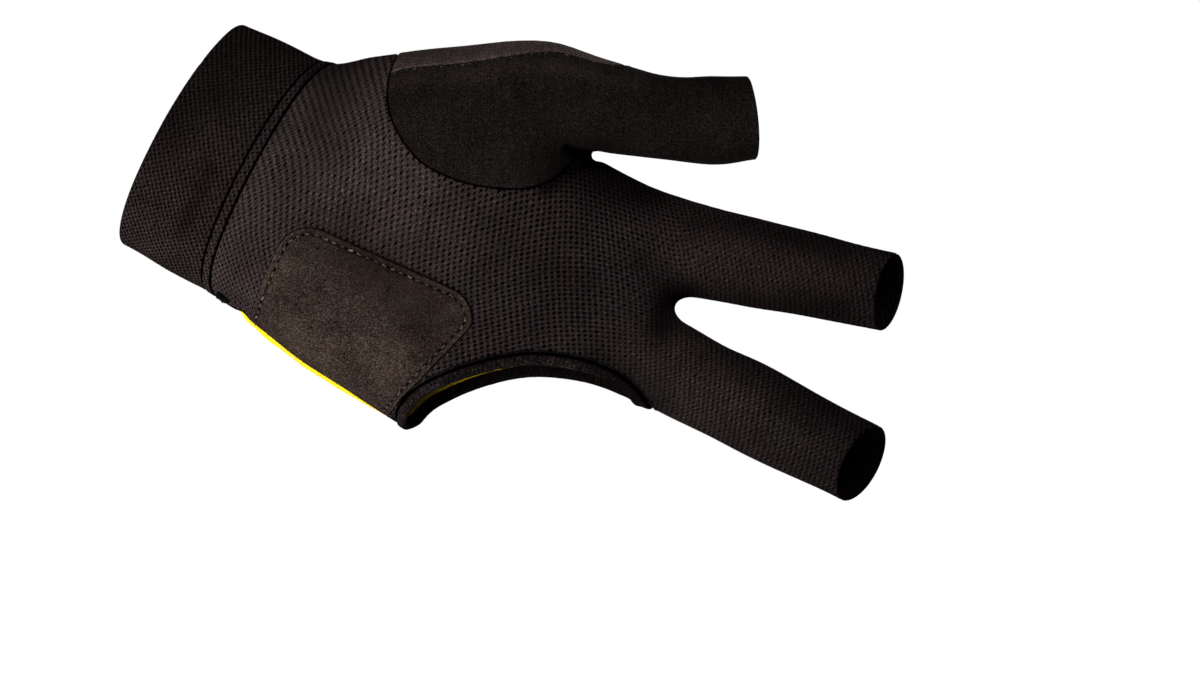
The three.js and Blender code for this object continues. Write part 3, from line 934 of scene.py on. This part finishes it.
def rim_edges(triangles, count):
    """Directed edges that only one triangle has."""
    edges = np.vstack([triangles[:, [0, 1]], triangles[:, [1, 2]], triangles[:, [2, 0]]])
    key = edges[:, 0] * count + edges[:, 1]
    mirrored = edges[:, 1] * count + edges[:, 0]
    return edges[~np.isin(key, mirrored)]


def make_mesh(name, corners, faces):
    """A smooth Blender mesh object from corners in millimetres."""
    mesh = bpy.data.meshes.new(name)
    mesh.from_pydata((corners * MM).tolist(), [], list(faces))
    mesh.shade_smooth()
    piece = bpy.data.objects.new(name, mesh)
    bpy.context.scene.collection.objects.link(piece)
    return piece


def write_uv(piece, name, corner_values):
    layer = piece.data.uv_layers.new(name=name)
    layer.data.foreach_set("uv", corner_values.astype(np.float32).ravel())


def write_value(piece, name, values):
    layer = piece.data.attributes.new(name, "FLOAT", "POINT")
    layer.data.foreach_set("value", values.astype(np.float32))


SHARP_ANGLE = math.radians(55)


def wall(name, sheet, heights, fabric, line=None, across=None):
    """Closed wall between two heights over a sheet, with its fabric's lattice."""
    outer, inner, nearest = heights
    p = sheet["p"]
    n = sheet["n"]
    count = len(p)
    lift = relief(p, n)
    corners = np.vstack([p + n * (outer + lift)[:, None], p + n * (inner + lift)[:, None]])
    front = sheet.triangles
    rim = rim_edges(front, count)
    i, j = rim.T
    sides = np.vstack(
        [np.stack([i, i + count, j + count], 1), np.stack([i, j + count, j], 1)]
    )
    faces = np.vstack([front, front[:, ::-1] + count, sides])
    piece = make_mesh(name, corners, faces)
    rim_back = np.zeros(len(sides), bool)
    back = np.concatenate([sheet.back, sheet.back, rim_back])
    pick = faces % count
    phases = sheet[fabric][pick]
    knit = np.where(back[:, None, None], phases[..., 2:], phases[..., :2])
    write_uv(piece, "knit", knit)
    if line is not None:
        s = line.distance_along(p)[pick]
        wraps = s.max(1) - s.min(1) > line.length / 2
        s = np.where(wraps[:, None] & (s < line.length / 2), s + line.length, s)
        write_uv(piece, "along", np.stack([s, across[pick]], -1))
    write_value(piece, "edge", np.concatenate([nearest, np.full(count, NO_GROOVE)]))
    # The light value holds painted light and shade: the table's strokes outside, and a darker
    # inside
    write_value(piece, "light", np.concatenate([painted_light_share(p, n), np.full(count, INNER_SHADE_AND_DULLNESS)]))
    piece.data.set_sharp_from_angle(angle=SHARP_ANGLE)
    return piece


def make_surface():
    """The whole fabric as one fine sheet, with every seam's measure and every lattice."""
    points, quads = surface_net()
    points = relax(onto_form(points, 2), quads)
    n = unit(gradient(points))
    seams = measures(points, n)
    fabrics = {
        "body": lattice(points, n, quads, seams["past_cuff_seam"], BODY_KNIT),
        "cuff": lattice(points, n, quads, seams["before_cuff_seam"], CUFF_KNIT),
        "thumb": lattice(points, n, quads, seams["on_thumb"], THUMB_JERSEY),
        "back": lattice(points, n, quads, seams["below_panel_edge"], BACK_JERSEY),
    }
    quads, values = refine(quads, np.hstack([points, *fabrics.values()]))
    p = onto_form(values[:, :3], 2)
    n = unit(gradient(p))
    sheet_values = {"p": p, "n": n, **measures(p, n)}
    for k, name in enumerate(fabrics):
        sheet_values[name] = values[:, 3 + 4 * k : 7 + 4 * k]
    a, b, c, d = quads.T
    flat = np.linalg.norm(p[a] - p[c], axis=1) < np.linalg.norm(p[b] - p[d], axis=1)
    first = np.where(flat[:, None], np.stack([a, b, c], 1), np.stack([a, b, d], 1))
    second = np.where(flat[:, None], np.stack([a, c, d], 1), np.stack([b, c, d], 1))
    triangles = np.vstack([first, second])
    sheet = Sheet(sheet_values, triangles, np.zeros(len(triangles), bool))
    whole, behind, _ = split(sheet, sheet["side"])
    whole.back = behind
    return whole


# Stitches: their pitch and length, half the thread's thickness, how far each stands out in its
# middle, and how far its ends sink
Stitch = namedtuple("Stitch", "pitch length radius height sink")
PAD_STITCH = Stitch(2.25, 1.3, 0.175, 0.08, 0.35)
TAPE_STITCH = Stitch(2.9, 1.3, 0.13, 0.0, 0.3)
STRIP_STITCH = Stitch(1.7, 1.0, 0.15, 0.08, 0.3)
STITCH_STATIONS = np.linspace(-1, 1, 7)
STITCH_SIDES = 6
STITCH_SWING = 0.16
STITCH_TAPER = 0.8
PIPING = {"offset": 0.62, "radius": 0.17, "on_knit": -0.05, "on_pad": 0.35}


def circle(sides):
    """Cosines and sines of even steps round a circle, as two columns."""
    angles = np.arange(sides) / sides * 2 * math.pi
    return np.cos(angles)[:, None], np.sin(angles)[:, None]


def make_tubes(name, rings):
    """Tubes closed at both ends, from the corners of every tube's rings."""
    count, stations, sides, _ = rings.shape
    i = np.arange(sides)
    j = (i + 1) % sides
    faces = []
    for first in np.arange(count) * stations * sides:
        low = first + np.arange(stations - 1)[:, None] * sides
        quads = np.stack([low + i, low + j, low + j + sides, low + i + sides], -1)
        last = first + (stations - 1) * sides
        faces += [*quads.reshape(-1, 4).tolist(), (first + i[::-1]).tolist(), (last + i).tolist()]
    piece = make_mesh(name, rings.reshape(-1, 3), faces)
    return piece


def stitch_row(name, line, stitch, base, clear=None):
    """Threads along a line, each bowed out of the cloth with both ends sunk in it.

    The base is the height of the cloth there, and clear is how far the row keeps from the side
    seam.
    """
    middles = np.arange(stitch.pitch / 2, line.length, stitch.pitch)
    if clear is not None:
        places = np.array([line.place(middle)[0] for middle in middles])
        middles = middles[behind_side_seam(places) < -clear]
    cosine, sine = circle(STITCH_SIDES)
    rings = []
    for number, middle in enumerate(middles):
        # Sines that don't repeat along the row make each stitch a little different
        swing = STITCH_SWING * math.sin(number * 2.4)
        fullness = 1 + 0.22 * math.sin(number * 1.7) + 0.1 * math.sin(number * 4.1)
        for station in STITCH_STATIONS:
            point, normal, ahead = line.place(middle + station * stitch.length * fullness / 2)
            lift = relief(point[None], normal[None])[0]
            side = np.cross(normal, ahead)
            height = base + lift + stitch.height - stitch.sink * station**4
            centre = point + normal * height + side * swing * station
            radius = stitch.radius * fullness * math.sqrt(1 - STITCH_TAPER * station**4)
            rings.append(centre + (cosine * side + sine * normal) * radius)
    shape = (len(middles), len(STITCH_STATIONS), STITCH_SIDES, 3)
    return make_tubes(name, np.reshape(rings, shape))


def pad_lift(p):
    """Share of the pad's thickness that lies under a point."""
    inside = smooth_step(inside_pad(p), -0.6, 0.4)
    return inside * (behind_side_seam(p) < 0)


def piping(name, line):
    """A narrow ridge along a line, sunk by half in the cloth and a little uneven."""
    normals = line.normals
    side = np.cross(normals, unit(np.gradient(line.points, axis=0)))
    lift = PIPING["on_knit"] + (PIPING["on_pad"] - PIPING["on_knit"]) * pad_lift(line.points)
    centre = line.points + normals * (lift + relief(line.points, normals))[:, None]
    uneven = 1 + 0.2 * np.sin(line.at * 1.9) + 0.16 * np.sin(line.at * 0.77 + 1)
    radius = (PIPING["radius"] * uneven)[:, None, None]
    cosine, sine = circle(STITCH_SIDES)
    ring = cosine * side[:, None] + sine * normals[:, None]
    return make_tubes(name, (centre[:, None] + ring * radius)[None])


def seam_lump(name, line):
    """The uneven lump of gathered cloth and thread beside the side seam and the cuff."""
    middle = line.at[np.argmin(np.abs(line.points[:, 0] - LUMP_PLACE[0]))]
    ahead = line.place(middle)[2]
    sides = SEAM_LUMP["sides"]
    angles = np.arange(sides) / sides * 2 * math.pi
    t = np.linspace(-1, 1, SEAM_LUMP["rings"])[:, None]
    places = onto_form(LUMP_PLACE + t * SEAM_LUMP["half_length"] * ahead, 2)
    normals = unit(gradient(places))
    across = np.cross(normals, ahead)
    wobble = 1 + 0.2 * np.sin(angles * 3 + t * 5) + 0.14 * np.sin(angles * 2 - t * 8)
    radius = (SEAM_LUMP["radius"] * np.sqrt(1.02 - t * t) * wobble)[:, :, None]
    cosine, sine = circle(sides)
    ring = cosine * across[:, None] * SEAM_LUMP["breadth"]
    ring = ring + sine * normals[:, None] * SEAM_LUMP["flatness"]
    centre = places + normals * SEAM_LUMP["lift"]
    return make_tubes(name, (centre[:, None] + ring * radius)[None])


def maths(operation):
    """A method that makes a math node of a signal and of what it is combined with."""
    return lambda signal, *others: signal.graph.math(operation, signal, *others)


class Signal:
    """A value in a node material, combined with plain arithmetic."""

    __add__ = __radd__ = maths("ADD")
    __sub__ = maths("SUBTRACT")
    __mul__ = __rmul__ = maths("MULTIPLY")
    __truediv__ = maths("DIVIDE")
    fract = maths("FRACT")
    floor = maths("FLOOR")
    abs = maths("ABSOLUTE")
    sqrt = maths("SQRT")
    at_most = maths("MINIMUM")
    at_least = maths("MAXIMUM")

    def __init__(self, graph, socket):
        self.graph = graph
        self.socket = socket

    def __rsub__(self, other):
        return self.graph.math("SUBTRACT", other, self)

    def wave(self):
        """From 1 to 0 and back in each whole turn."""
        return self.graph.math("COSINE", self * (2 * math.pi)) * 0.5 + 0.5

    def ramp(self, low, high):
        """Smoothly from 0 at low to 1 at high, where low may be the greater of the two."""
        ends = (min(low, high), max(low, high), float(low > high), float(low <= high))
        return self.graph.signal("MapRange", self, *ends, interpolation_type="SMOOTHSTEP")


class Graph:
    """Short way to write a procedural material."""

    def __init__(self, name, roughness, specular):
        self.material = bpy.data.materials.new(name)
        self.material.use_nodes = True
        self.tree = self.material.node_tree
        self.shader = self.tree.nodes["Principled BSDF"]
        self.shader.inputs["Roughness"].default_value = roughness
        self.shader.inputs["Specular IOR Level"].default_value = specular
        scale = self.node("VectorMath", self.node("TexCoord").outputs["Object"], operation="SCALE")
        scale.inputs["Scale"].default_value = 1 / MM
        self.place = scale.outputs["Vector"]

    def node(self, kind, *sources, **settings):
        """A new node with these settings, whose first inputs come from the sources."""
        node = self.tree.nodes.new("ShaderNode" + kind)
        for name, setting in settings.items():
            setattr(node, name, setting)
        for source, socket in zip(sources, node.inputs):
            self.connect(source, socket)
        return node

    def signal(self, kind, *sources, **settings):
        """The first output of a new node."""
        return Signal(self, self.node(kind, *sources, **settings).outputs[0])

    def connect(self, source, socket):
        if isinstance(source, Signal):
            source = source.socket
        if isinstance(source, bpy.types.NodeSocket):
            self.tree.links.new(source, socket)
        else:
            socket.default_value = source

    def math(self, operation, *values):
        return self.signal("Math", *values, operation=operation)

    def uv(self, name):
        parts = self.node("SeparateXYZ", self.node("UVMap", uv_map=name).outputs["UV"])
        return Signal(self, parts.outputs["X"]), Signal(self, parts.outputs["Y"])

    def along_fingers(self):
        """The place's x, in millimetres."""
        return self.signal("SeparateXYZ", self.place)

    def vector(self, x, y):
        return self.node("CombineXYZ", x, y).outputs["Vector"]

    def shifted(self, far):
        """The place moved along, so that a second noise is not like the first."""
        moved = self.node("VectorMath", self.place, (far, far, far), operation="ADD")
        return moved.outputs["Vector"]

    def noise(self, size, detail=2.0, roughness=0.5, vector=None):
        """Cloudy noise from 0 to 1 with blotches of about that size."""
        node = self.node("TexNoise", vector or self.place)
        node.inputs["Scale"].default_value = 1 / size
        node.inputs["Detail"].default_value = detail
        node.inputs["Roughness"].default_value = roughness
        return Signal(self, node.outputs["Fac"])

    def sway(self, amount, size, *finer, **source):
        """Noise that goes as far below zero as above it, over that amount in all."""
        return (self.noise(size, *finer, **source) - 0.5) * amount

    def cell_noise(self, x, y):
        """A random value from 0 to 1 for each whole x and y."""
        cell = self.vector(x.floor(), y.floor())
        return self.signal("TexWhiteNoise", cell, noise_dimensions="2D")

    def value(self, name):
        """A value that the mesh holds at every point."""
        return Signal(self, self.node("Attribute", attribute_name=name).outputs["Fac"])

    def colours(self, share, *stops):
        """Colour between stops of (share, colour)."""
        node = self.node("ValToRGB", share)
        elements = node.color_ramp.elements
        while len(elements) < len(stops):
            elements.new(0.5)
        for element, (at, colour) in zip(elements, stops):
            element.position = at
            element.color = (*colour, 1.0)
        return node.outputs["Color"]

    def tones(self, bright, places, tones):
        """Colour between tones, which are given as they look on the screen."""
        return self.colours(bright, *[(at, shade(*tone)) for at, tone in zip(places, tones)])

    def multiplied(self, colour, tint):
        node = self.node("Mix", data_type="RGBA", blend_type="MULTIPLY")
        node.inputs["Factor"].default_value = 1.0
        base, factor = [socket for socket in node.inputs if socket.type == "RGBA"]
        self.connect(colour, base)
        self.connect(tint, factor)
        return [socket for socket in node.outputs if socket.type == "RGBA"][0]

    def tinted(self, colour, share, first, second):
        """The colour times one tint where the share is low and another where it is high."""
        return self.multiplied(colour, self.colours(share, (0.35, first), (0.65, second)))

    def shaded(self, bright, uneven, low, high):
        """The brightness, with painted shade in the grooves at the borders, and the painted light
        and shade that the mesh holds.
        """
        line = self.value("edge")
        for amount, size in uneven:
            line = line + self.sway(amount, size)
        return bright * line.ramp(low, high) * self.value("light")

    def finish(self, colour, height=None, depth=0.0):
        """Sets the base colour, and a bump whose height goes from 0 to 1 over the depth."""
        self.connect(colour, self.shader.inputs["Base Color"])
        if height is not None:
            bump = self.node("Bump")
            bump.inputs["Strength"].default_value = 1.0
            bump.inputs["Distance"].default_value = depth * MM
            self.connect(height, bump.inputs["Height"])
            self.connect(bump.outputs["Normal"], self.shader.inputs["Normal"])
        return self.material


# Colours of cloth are given as they look on a screen in the studio light, from 0 to 255
LIGHT_LEVEL = 1.3
# Length over which the knit's painted shade is given, darker along the fingers where the light
# falls off: the share of its brightness at each x
PAINTED_SHADE_LENGTH = 200.0
BODY_PAINTED_SHADE = [
    (20, 0.9), (45, 0.98), (62, 0.97), (80, 0.72), (100, 0.44), (112, 0.51), (128, 0.58),
    (147, 0.5), (165, 0.34), (182, 0.28),
]


def shade(red, green, blue):
    """Base colour of a cloth that looks like this on the screen."""
    parts = np.array([red, green, blue]) / 255
    linear = np.where(parts > 0.04045, ((parts + 0.055) / 1.055) ** 2.4, parts / 12.92)
    return tuple((linear / LIGHT_LEVEL).tolist())


# Where the knit changes along the fingers, in x
OVER_PALM = (55.0, 95.0)
TO_HEEL = (48.0, 30.0)
TO_FINGERS = (108.0, 132.0)


def knit_material(name, tones, hole, openness, contrast=1.0, painted_shade=None):
    """Open knit: dark leaning holes in columns, with mottled looped threads between them."""
    g = Graph(name, roughness=0.95, specular=0.0)
    u, v = g.uv("knit")
    x = g.along_fingers()
    heel = x.ramp(*TO_HEEL)
    finger = x.ramp(*TO_FINGERS)
    palm = x.ramp(*OVER_PALM) * (1.0 - finger)
    u = u + g.sway(0.22, 3.2) + g.sway(0.1, 0.9)
    v = v + g.sway(0.26, 2.6) + g.sway(0.1, 0.8)
    chance = g.cell_noise(u, v)
    other_chance = g.cell_noise(u + 37.0, v + 11.0)
    a = u.fract() - 0.5
    b = v.fract() - 0.5
    # Every second hole, and every second crossing between holes, is like its diagonal neighbour
    turn = ((u.floor() + v.floor()) * 0.5).fract() - 0.25
    corner_turn = (((u + 0.5).floor() + (v + 0.5).floor()) * 0.5).fract() * 2.0
    wide = (chance - 0.5) * 0.08 + turn * 0.07 + palm * 0.03 + hole[0]
    tall = (other_chance - 0.5) * 0.08 + turn * 0.05 + heel * 0.02 + palm * 0.035 + hole[1]
    leaning = b + a * (palm * -0.5 + 0.58)
    away = ((a / wide) * (a / wide) + (leaning / tall) * (leaning / tall)).sqrt()
    depth_share = (chance - 0.5) * 0.35 + turn * 0.4 + palm * 0.15 - finger * 0.12 + openness
    open_share = (away + g.sway(0.5, 0.3)).ramp(1.12, 0.78) * depth_share.at_most(1.0)
    ridge = a.abs() * 2.0
    knot = (ridge * b.abs() * 2.0).ramp(0.4, 0.9)
    loop = (v * 2.0 + ridge * 0.8).wave()
    across = g.noise(1.0, 1.0, vector=g.vector(u * 2.2 + v * 1.6, u * 5.6 - v * 4.0))
    along = g.noise(1.0, 1.0, vector=g.vector(u * 2.2 - v * 1.6, u * 5.6 + v * 4.0))
    speckle = g.noise(0.34, 2.0, 0.75)
    bright = (ridge - 0.5) * 0.05 + (loop - 0.5) * 0.08
    bright = bright + knot * (other_chance * 0.14 + corner_turn * 0.16)
    bright = bright + across.ramp(0.5, 0.7) * 0.26 + along.ramp(0.5, 0.72) * 0.19
    bright = bright + (speckle - 0.5) * (finger * 0.6 + 0.9) + g.sway(0.2, 8.0)
    bright = (bright * contrast + 0.31).at_least(0.05) * (1.0 - open_share)
    bright = g.shaded(bright, [(0.3, 1.6), (0.45, 0.5)], 0.2, 0.4)
    colour = g.tones(bright, (0.0, 0.3, 0.6, 1.0), tones)
    colour = g.tinted(colour, g.noise(17.0, 1.0), (1.03, 0.985, 0.99), (0.96, 1.01, 1.0))
    # Painted shade: the knit darkens along the fingers, where the light falls off
    if painted_shade:
        place = (x + g.sway(24.0, 30.0)) / PAINTED_SHADE_LENGTH
        stops = [(at / PAINTED_SHADE_LENGTH, (share, share, share)) for at, share in painted_shade]
        colour = g.multiplied(colour, g.colours(place, *stops))
    height = (1.0 - open_share) * 0.6 + ridge * 0.2 + loop * 0.1 + speckle * 0.2
    return g.finish(colour, height, 0.3)


def jersey_material(name, tones, groove=(0.2, 0.5), rough=0.85, specular=0.01):
    """Smooth stretch jersey with fine ribs and a speckled surface."""
    g = Graph(name, rough, specular)
    u, v = g.uv("knit")
    u = u + g.sway(0.5, 1.4)
    rib = u.wave()
    purl = (v + u * 0.5).wave()
    speckle = g.noise(0.36, 3.0, 0.85)
    fleck = g.noise(0.55, 1.0, vector=g.shifted(25.0)).ramp(0.5, 0.72)
    bright = (rib - 0.5) * 0.14 + (purl - 0.5) * 0.16 + (speckle - 0.5) * 2.6 + fleck * 0.2
    bright = bright + g.sway(0.3, 1.0, vector=g.vector(u * 0.5, v * 0.06))
    bright = bright + g.sway(0.35, 12.0, 3.0) + 0.37
    bright = g.shaded(bright.at_least(0.03), [(0.2, 1.1)], *groove)
    colour = g.tones(bright, (0.0, 0.35, 1.0), tones)
    return g.finish(colour, rib * 0.5 + purl * 0.2 + speckle * 0.5, 0.05)


# Slots pricked in the suede between the stitches: squares of half their length and breadth
SLOT_SQUARES = (0.16, 0.06)


def suede_material(name, tones):
    """Napped suede: soft clouds, light and dark grains, and pricked slots between stitches."""
    g = Graph(name, roughness=0.95, specular=0.0)
    s, across = g.uv("along")
    patches = g.noise(2.2, 3.0, 0.7)
    grain = g.noise(0.4, 3.0, 0.9)
    specks = g.noise(0.34, 1.0).ramp(0.54, 0.74)
    pits = g.noise(0.42, 1.0, vector=g.shifted(40.0)).ramp(0.44, 0.26)
    turns = s / PAD_STITCH.pitch
    chance = g.cell_noise(turns + 0.5, turns * 0.0)
    along = (turns.fract() - 0.5) * PAD_STITCH.pitch
    along = PAD_STITCH.pitch / 2 - along.abs()
    near_end = (along * along) / SLOT_SQUARES[0] + (across * across) / SLOT_SQUARES[1]
    slot = near_end.sqrt().ramp(1.3, 0.6) * (chance * 0.7 + 0.3)
    # Painted shade darkens the trough along the stitch row, and a faint painted highlight lies
    # between the row and the pad's edge
    trough = across.abs().ramp(0.7, 0.1)
    bright = g.sway(0.45, 11.0) + (patches - 0.5) * 0.36 + (grain - 0.5) * 2.0 + 0.42
    bright = bright + specks * 0.3 - pits * 0.24 - trough * 0.16 + across.ramp(-0.6, -1.2) * 0.05
    bright = g.shaded(bright.at_least(0.03) * (1.0 - slot), [(0.2, 1.1)], 0.16, 0.4)
    colour = g.tones(bright, (0.0, 0.3, 0.55, 1.0), tones)
    colour = g.tinted(colour, g.noise(5.0), (1.04, 0.97, 0.99), (0.98, 1.02, 0.96))
    return g.finish(colour, grain * 0.6 + patches * 0.4 - slot * 0.9 - pits * 0.4, 0.22)


def tape_material(name, tones):
    """Brushed tape: a fuzzy surface with faint cross ribs."""
    g = Graph(name, roughness=0.95, specular=0.0)
    s, across = g.uv("along")
    rib = (s * 0.9 + across * 0.25).wave()
    fuzz = g.noise(0.42, 3.0, 0.85)
    specks = g.noise(0.34, 1.0).ramp(0.56, 0.76)
    bright = (rib - 0.5) * 0.14 + (fuzz - 0.5) * 2.6 + g.sway(0.6, 1.5) + specks * 0.35
    bright = bright + g.sway(0.4, 9.0, 1.0) + 0.32
    bright = g.shaded(bright.at_least(0.02), [(0.3, 1.1)], 0.2, 0.45)
    colour = g.tones(bright, (0.0, 0.4, 1.0), tones)
    return g.finish(colour, rib * 0.2 + fuzz * 0.8, 0.25)


def thread_material(name, tones, fades=None):
    """Twisted sewing thread, worn and dirty here and there."""
    g = Graph(name, roughness=0.8, specular=0.04)
    fibre = g.noise(0.16, 2.0, 0.6)
    bright = (fibre - 0.5) * 0.9 + g.sway(2.6, 2.1, 2.0, 0.7) + 0.45
    if fades:
        bright = bright * (1.0 - g.along_fingers().ramp(*fades) * 0.8)
    return g.finish(g.tones(bright, (0.0, 0.45, 1.0), tones), fibre, 0.05)


surface = make_surface()
BLACK = (2, 1, 1)
MATERIALS = {
    "knit_body": knit_material(
        "open_knit", (BLACK, (37, 30.5, 30.5), (64, 54, 54), (118, 107, 105)),
        hole=(0.235, 0.25), openness=0.8, painted_shade=BODY_PAINTED_SHADE,
    ),
    "cuff_knit": knit_material(
        "fine_knit", (BLACK, (21, 17, 16.5), (39.5, 32.5, 31.5), (77, 68, 66)),
        hole=(0.265, 0.275), openness=0.9, contrast=1.2,
    ),
    "cuff_seam_tape": knit_material(
        "band_knit", (BLACK, (24, 20, 19.5), (46, 39, 38), (94, 85, 82)),
        hole=(0.25, 0.26), openness=0.8, contrast=1.1,
    ),
    "thumb_jersey": jersey_material("thumb_jersey", (BLACK, (15.4, 12.3, 11.7), (44, 37.5, 35.5))),
    # The strip is a lighter copy of the thumb's jersey: partly painted sheen, for the strip is
    # seen at a grazing angle
    "thumb_strip": jersey_material(
        "strip_jersey", ((16.2, 12.5, 11.6), (55, 45.5, 42.8), (98, 85.5, 82))
    ),
    "suede_pad": suede_material("suede", (BLACK, (32, 25.5, 22.5), (53, 44, 39), (98, 87, 80))),
    "yellow_back": jersey_material(
        "yellow_jersey", ((150, 120, 10), (246, 208, 14), (255, 226, 40)),
        groove=(0.0, 0.1), rough=0.6, specular=0.1,
    ),
    "edge_binding": tape_material("binding_tape", (BLACK, (20, 16, 16), (64, 56, 55))),
    "side_seam_ridge": tape_material("seam_overlock", (BLACK, (9, 7, 7), (24, 20, 20))),
}
THREAD = thread_material("grey_thread", ((24, 21, 19), (66, 60, 55), (122, 116, 108)))
LUMP_THREAD = thread_material("black_thread", (BLACK, (5, 4, 4), (14, 12, 12)))
DARK_THREAD = thread_material("dark_thread", (BLACK, (40, 37, 36), (80, 78, 75)))
PIPING_THREAD = thread_material(
    "piping_thread", (BLACK, (28, 27, 27), (66, 66, 65)), fades=(78.0, 94.0)
)

lines = {}
for name, spec in PANELS.items():
    sheet = panel_sheet(surface, spec)
    across = None
    if spec.line:
        field, offset = spec.line
        across = sheet[field] - offset
        lines[name] = trace(sheet, across)
    piece = wall(name, sheet, panel_heights(sheet, spec), spec.lattice, lines.get(name), across)
    piece.data.materials.append(MATERIALS[name])
    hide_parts(*spec.replaces)
    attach(piece, "root")

binding_line = trace(surface, surface["past_binding"] - PIPING["offset"])
for piece, material in [
    (stitch_row("pad_stitches", lines["suede_pad"], PAD_STITCH, base=0.56, clear=3.6), THREAD),
    (stitch_row("tape_stitches", lines["edge_binding"], TAPE_STITCH, base=0.45), DARK_THREAD),
    (stitch_row("strip_stitches", lines["thumb_jersey"], STRIP_STITCH, base=0.0), DARK_THREAD),
    (piping("binding_piping", binding_line), PIPING_THREAD),
    (seam_lump("side_seam_lump", lines["side_seam_ridge"]), LUMP_THREAD),
]:
    piece.data.materials.append(material)
    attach(piece, "root")

# Stage: a round pale floor well below, a room that is white to look at, and soft lights
FLOOR_DROP = 600
FLOOR_RADIUS = 2200
FLOOR_CORNERS = 96
ROOM_LIGHT = 0.14
MIDDLE = (95, -10, 5)


def make_floor():
    turns = np.arange(FLOOR_CORNERS) / FLOOR_CORNERS * 2 * math.pi
    ring = np.stack([np.cos(turns), np.sin(turns), np.zeros(FLOOR_CORNERS)], 1)
    corners = np.vstack([np.zeros(3), ring * FLOOR_RADIUS]) + (MIDDLE[0], 0, -FLOOR_DROP)
    outer = np.arange(FLOOR_CORNERS)
    after = (outer + 1) % FLOOR_CORNERS
    faces = np.stack([np.zeros(FLOOR_CORNERS, int), outer + 1, after + 1], 1)
    floor = make_mesh("floor", corners, faces)
    g = Graph("floor_paint", roughness=0.9, specular=0.1)
    paint = g.colours(g.noise(180.0), (0.0, (0.84, 0.84, 0.84)), (1.0, (0.88, 0.88, 0.88)))
    floor.data.materials.append(g.finish(paint))


def area_light(name, place, size, power, aim=MIDDLE):
    """Soft light at a place in millimetres, aimed at another, and unseen itself."""
    data = bpy.data.lights.new(name, "AREA")
    data.shape = "DISK"
    data.size = size * MM
    data.energy = power
    light = bpy.data.objects.new(name, data)
    light.location = Vector(place) * MM
    way = (Vector(aim) - Vector(place)) * MM
    light.rotation_euler = way.to_track_quat("-Z", "Y").to_euler()
    light.visible_camera = False
    bpy.context.scene.collection.objects.link(light)


def make_room():
    """A world that the camera sees as white, and that lights black cloth only dimly."""
    world = bpy.data.worlds.new("white_room")
    world.use_nodes = True
    tree = world.node_tree
    path = tree.nodes.new("ShaderNodeLightPath")
    strength = tree.nodes.new("ShaderNodeMapRange")
    strength.inputs["To Min"].default_value = ROOM_LIGHT
    tree.links.new(path.outputs["Is Camera Ray"], strength.inputs["Value"])
    background = tree.nodes["Background"]
    background.inputs["Color"].default_value = (1, 1, 1, 1)
    tree.links.new(strength.outputs["Result"], background.inputs["Strength"])
    bpy.context.scene.world = world
    bpy.context.scene.view_settings.view_transform = "Standard"


make_floor()
make_room()
area_light("key_light", (-60, -260, -230), 220, 1.9)
area_light("top_light", (160, -260, 290), 240, 0.7)
area_light("fill_light", (-150, -650, 120), 500, 1.2)
area_light("back_light", (120, 620, 120), 700, 2.5)
area_light("floor_light", (95, 0, -330), 1500, 9.0, (95, 0, -FLOOR_DROP))

# Camera: it looks along +Y with the fingers falling to the right, as in the photograph
CAMERA_PLACE = (116.7, -750, -5.2)
CAMERA_ROLL = math.radians(24)
LENS = 90
SENSOR = 36


def make_camera():
    data = bpy.data.cameras.new("camera")
    data.lens = LENS
    data.sensor_width = SENSOR
    data.sensor_fit = "HORIZONTAL"
    data.clip_start = 0.01
    camera = bpy.data.objects.new("camera", data)
    right = Vector((math.cos(CAMERA_ROLL), 0, math.sin(CAMERA_ROLL)))
    up = Vector((-math.sin(CAMERA_ROLL), 0, math.cos(CAMERA_ROLL)))
    turn = Matrix((right, up, right.cross(up))).transposed().to_4x4()
    camera.matrix_world = Matrix.Translation(Vector(CAMERA_PLACE) * MM) @ turn
    bpy.context.scene.collection.objects.link(camera)
    bpy.context.scene.camera = camera


make_camera()
bpy.context.view_layer.update()
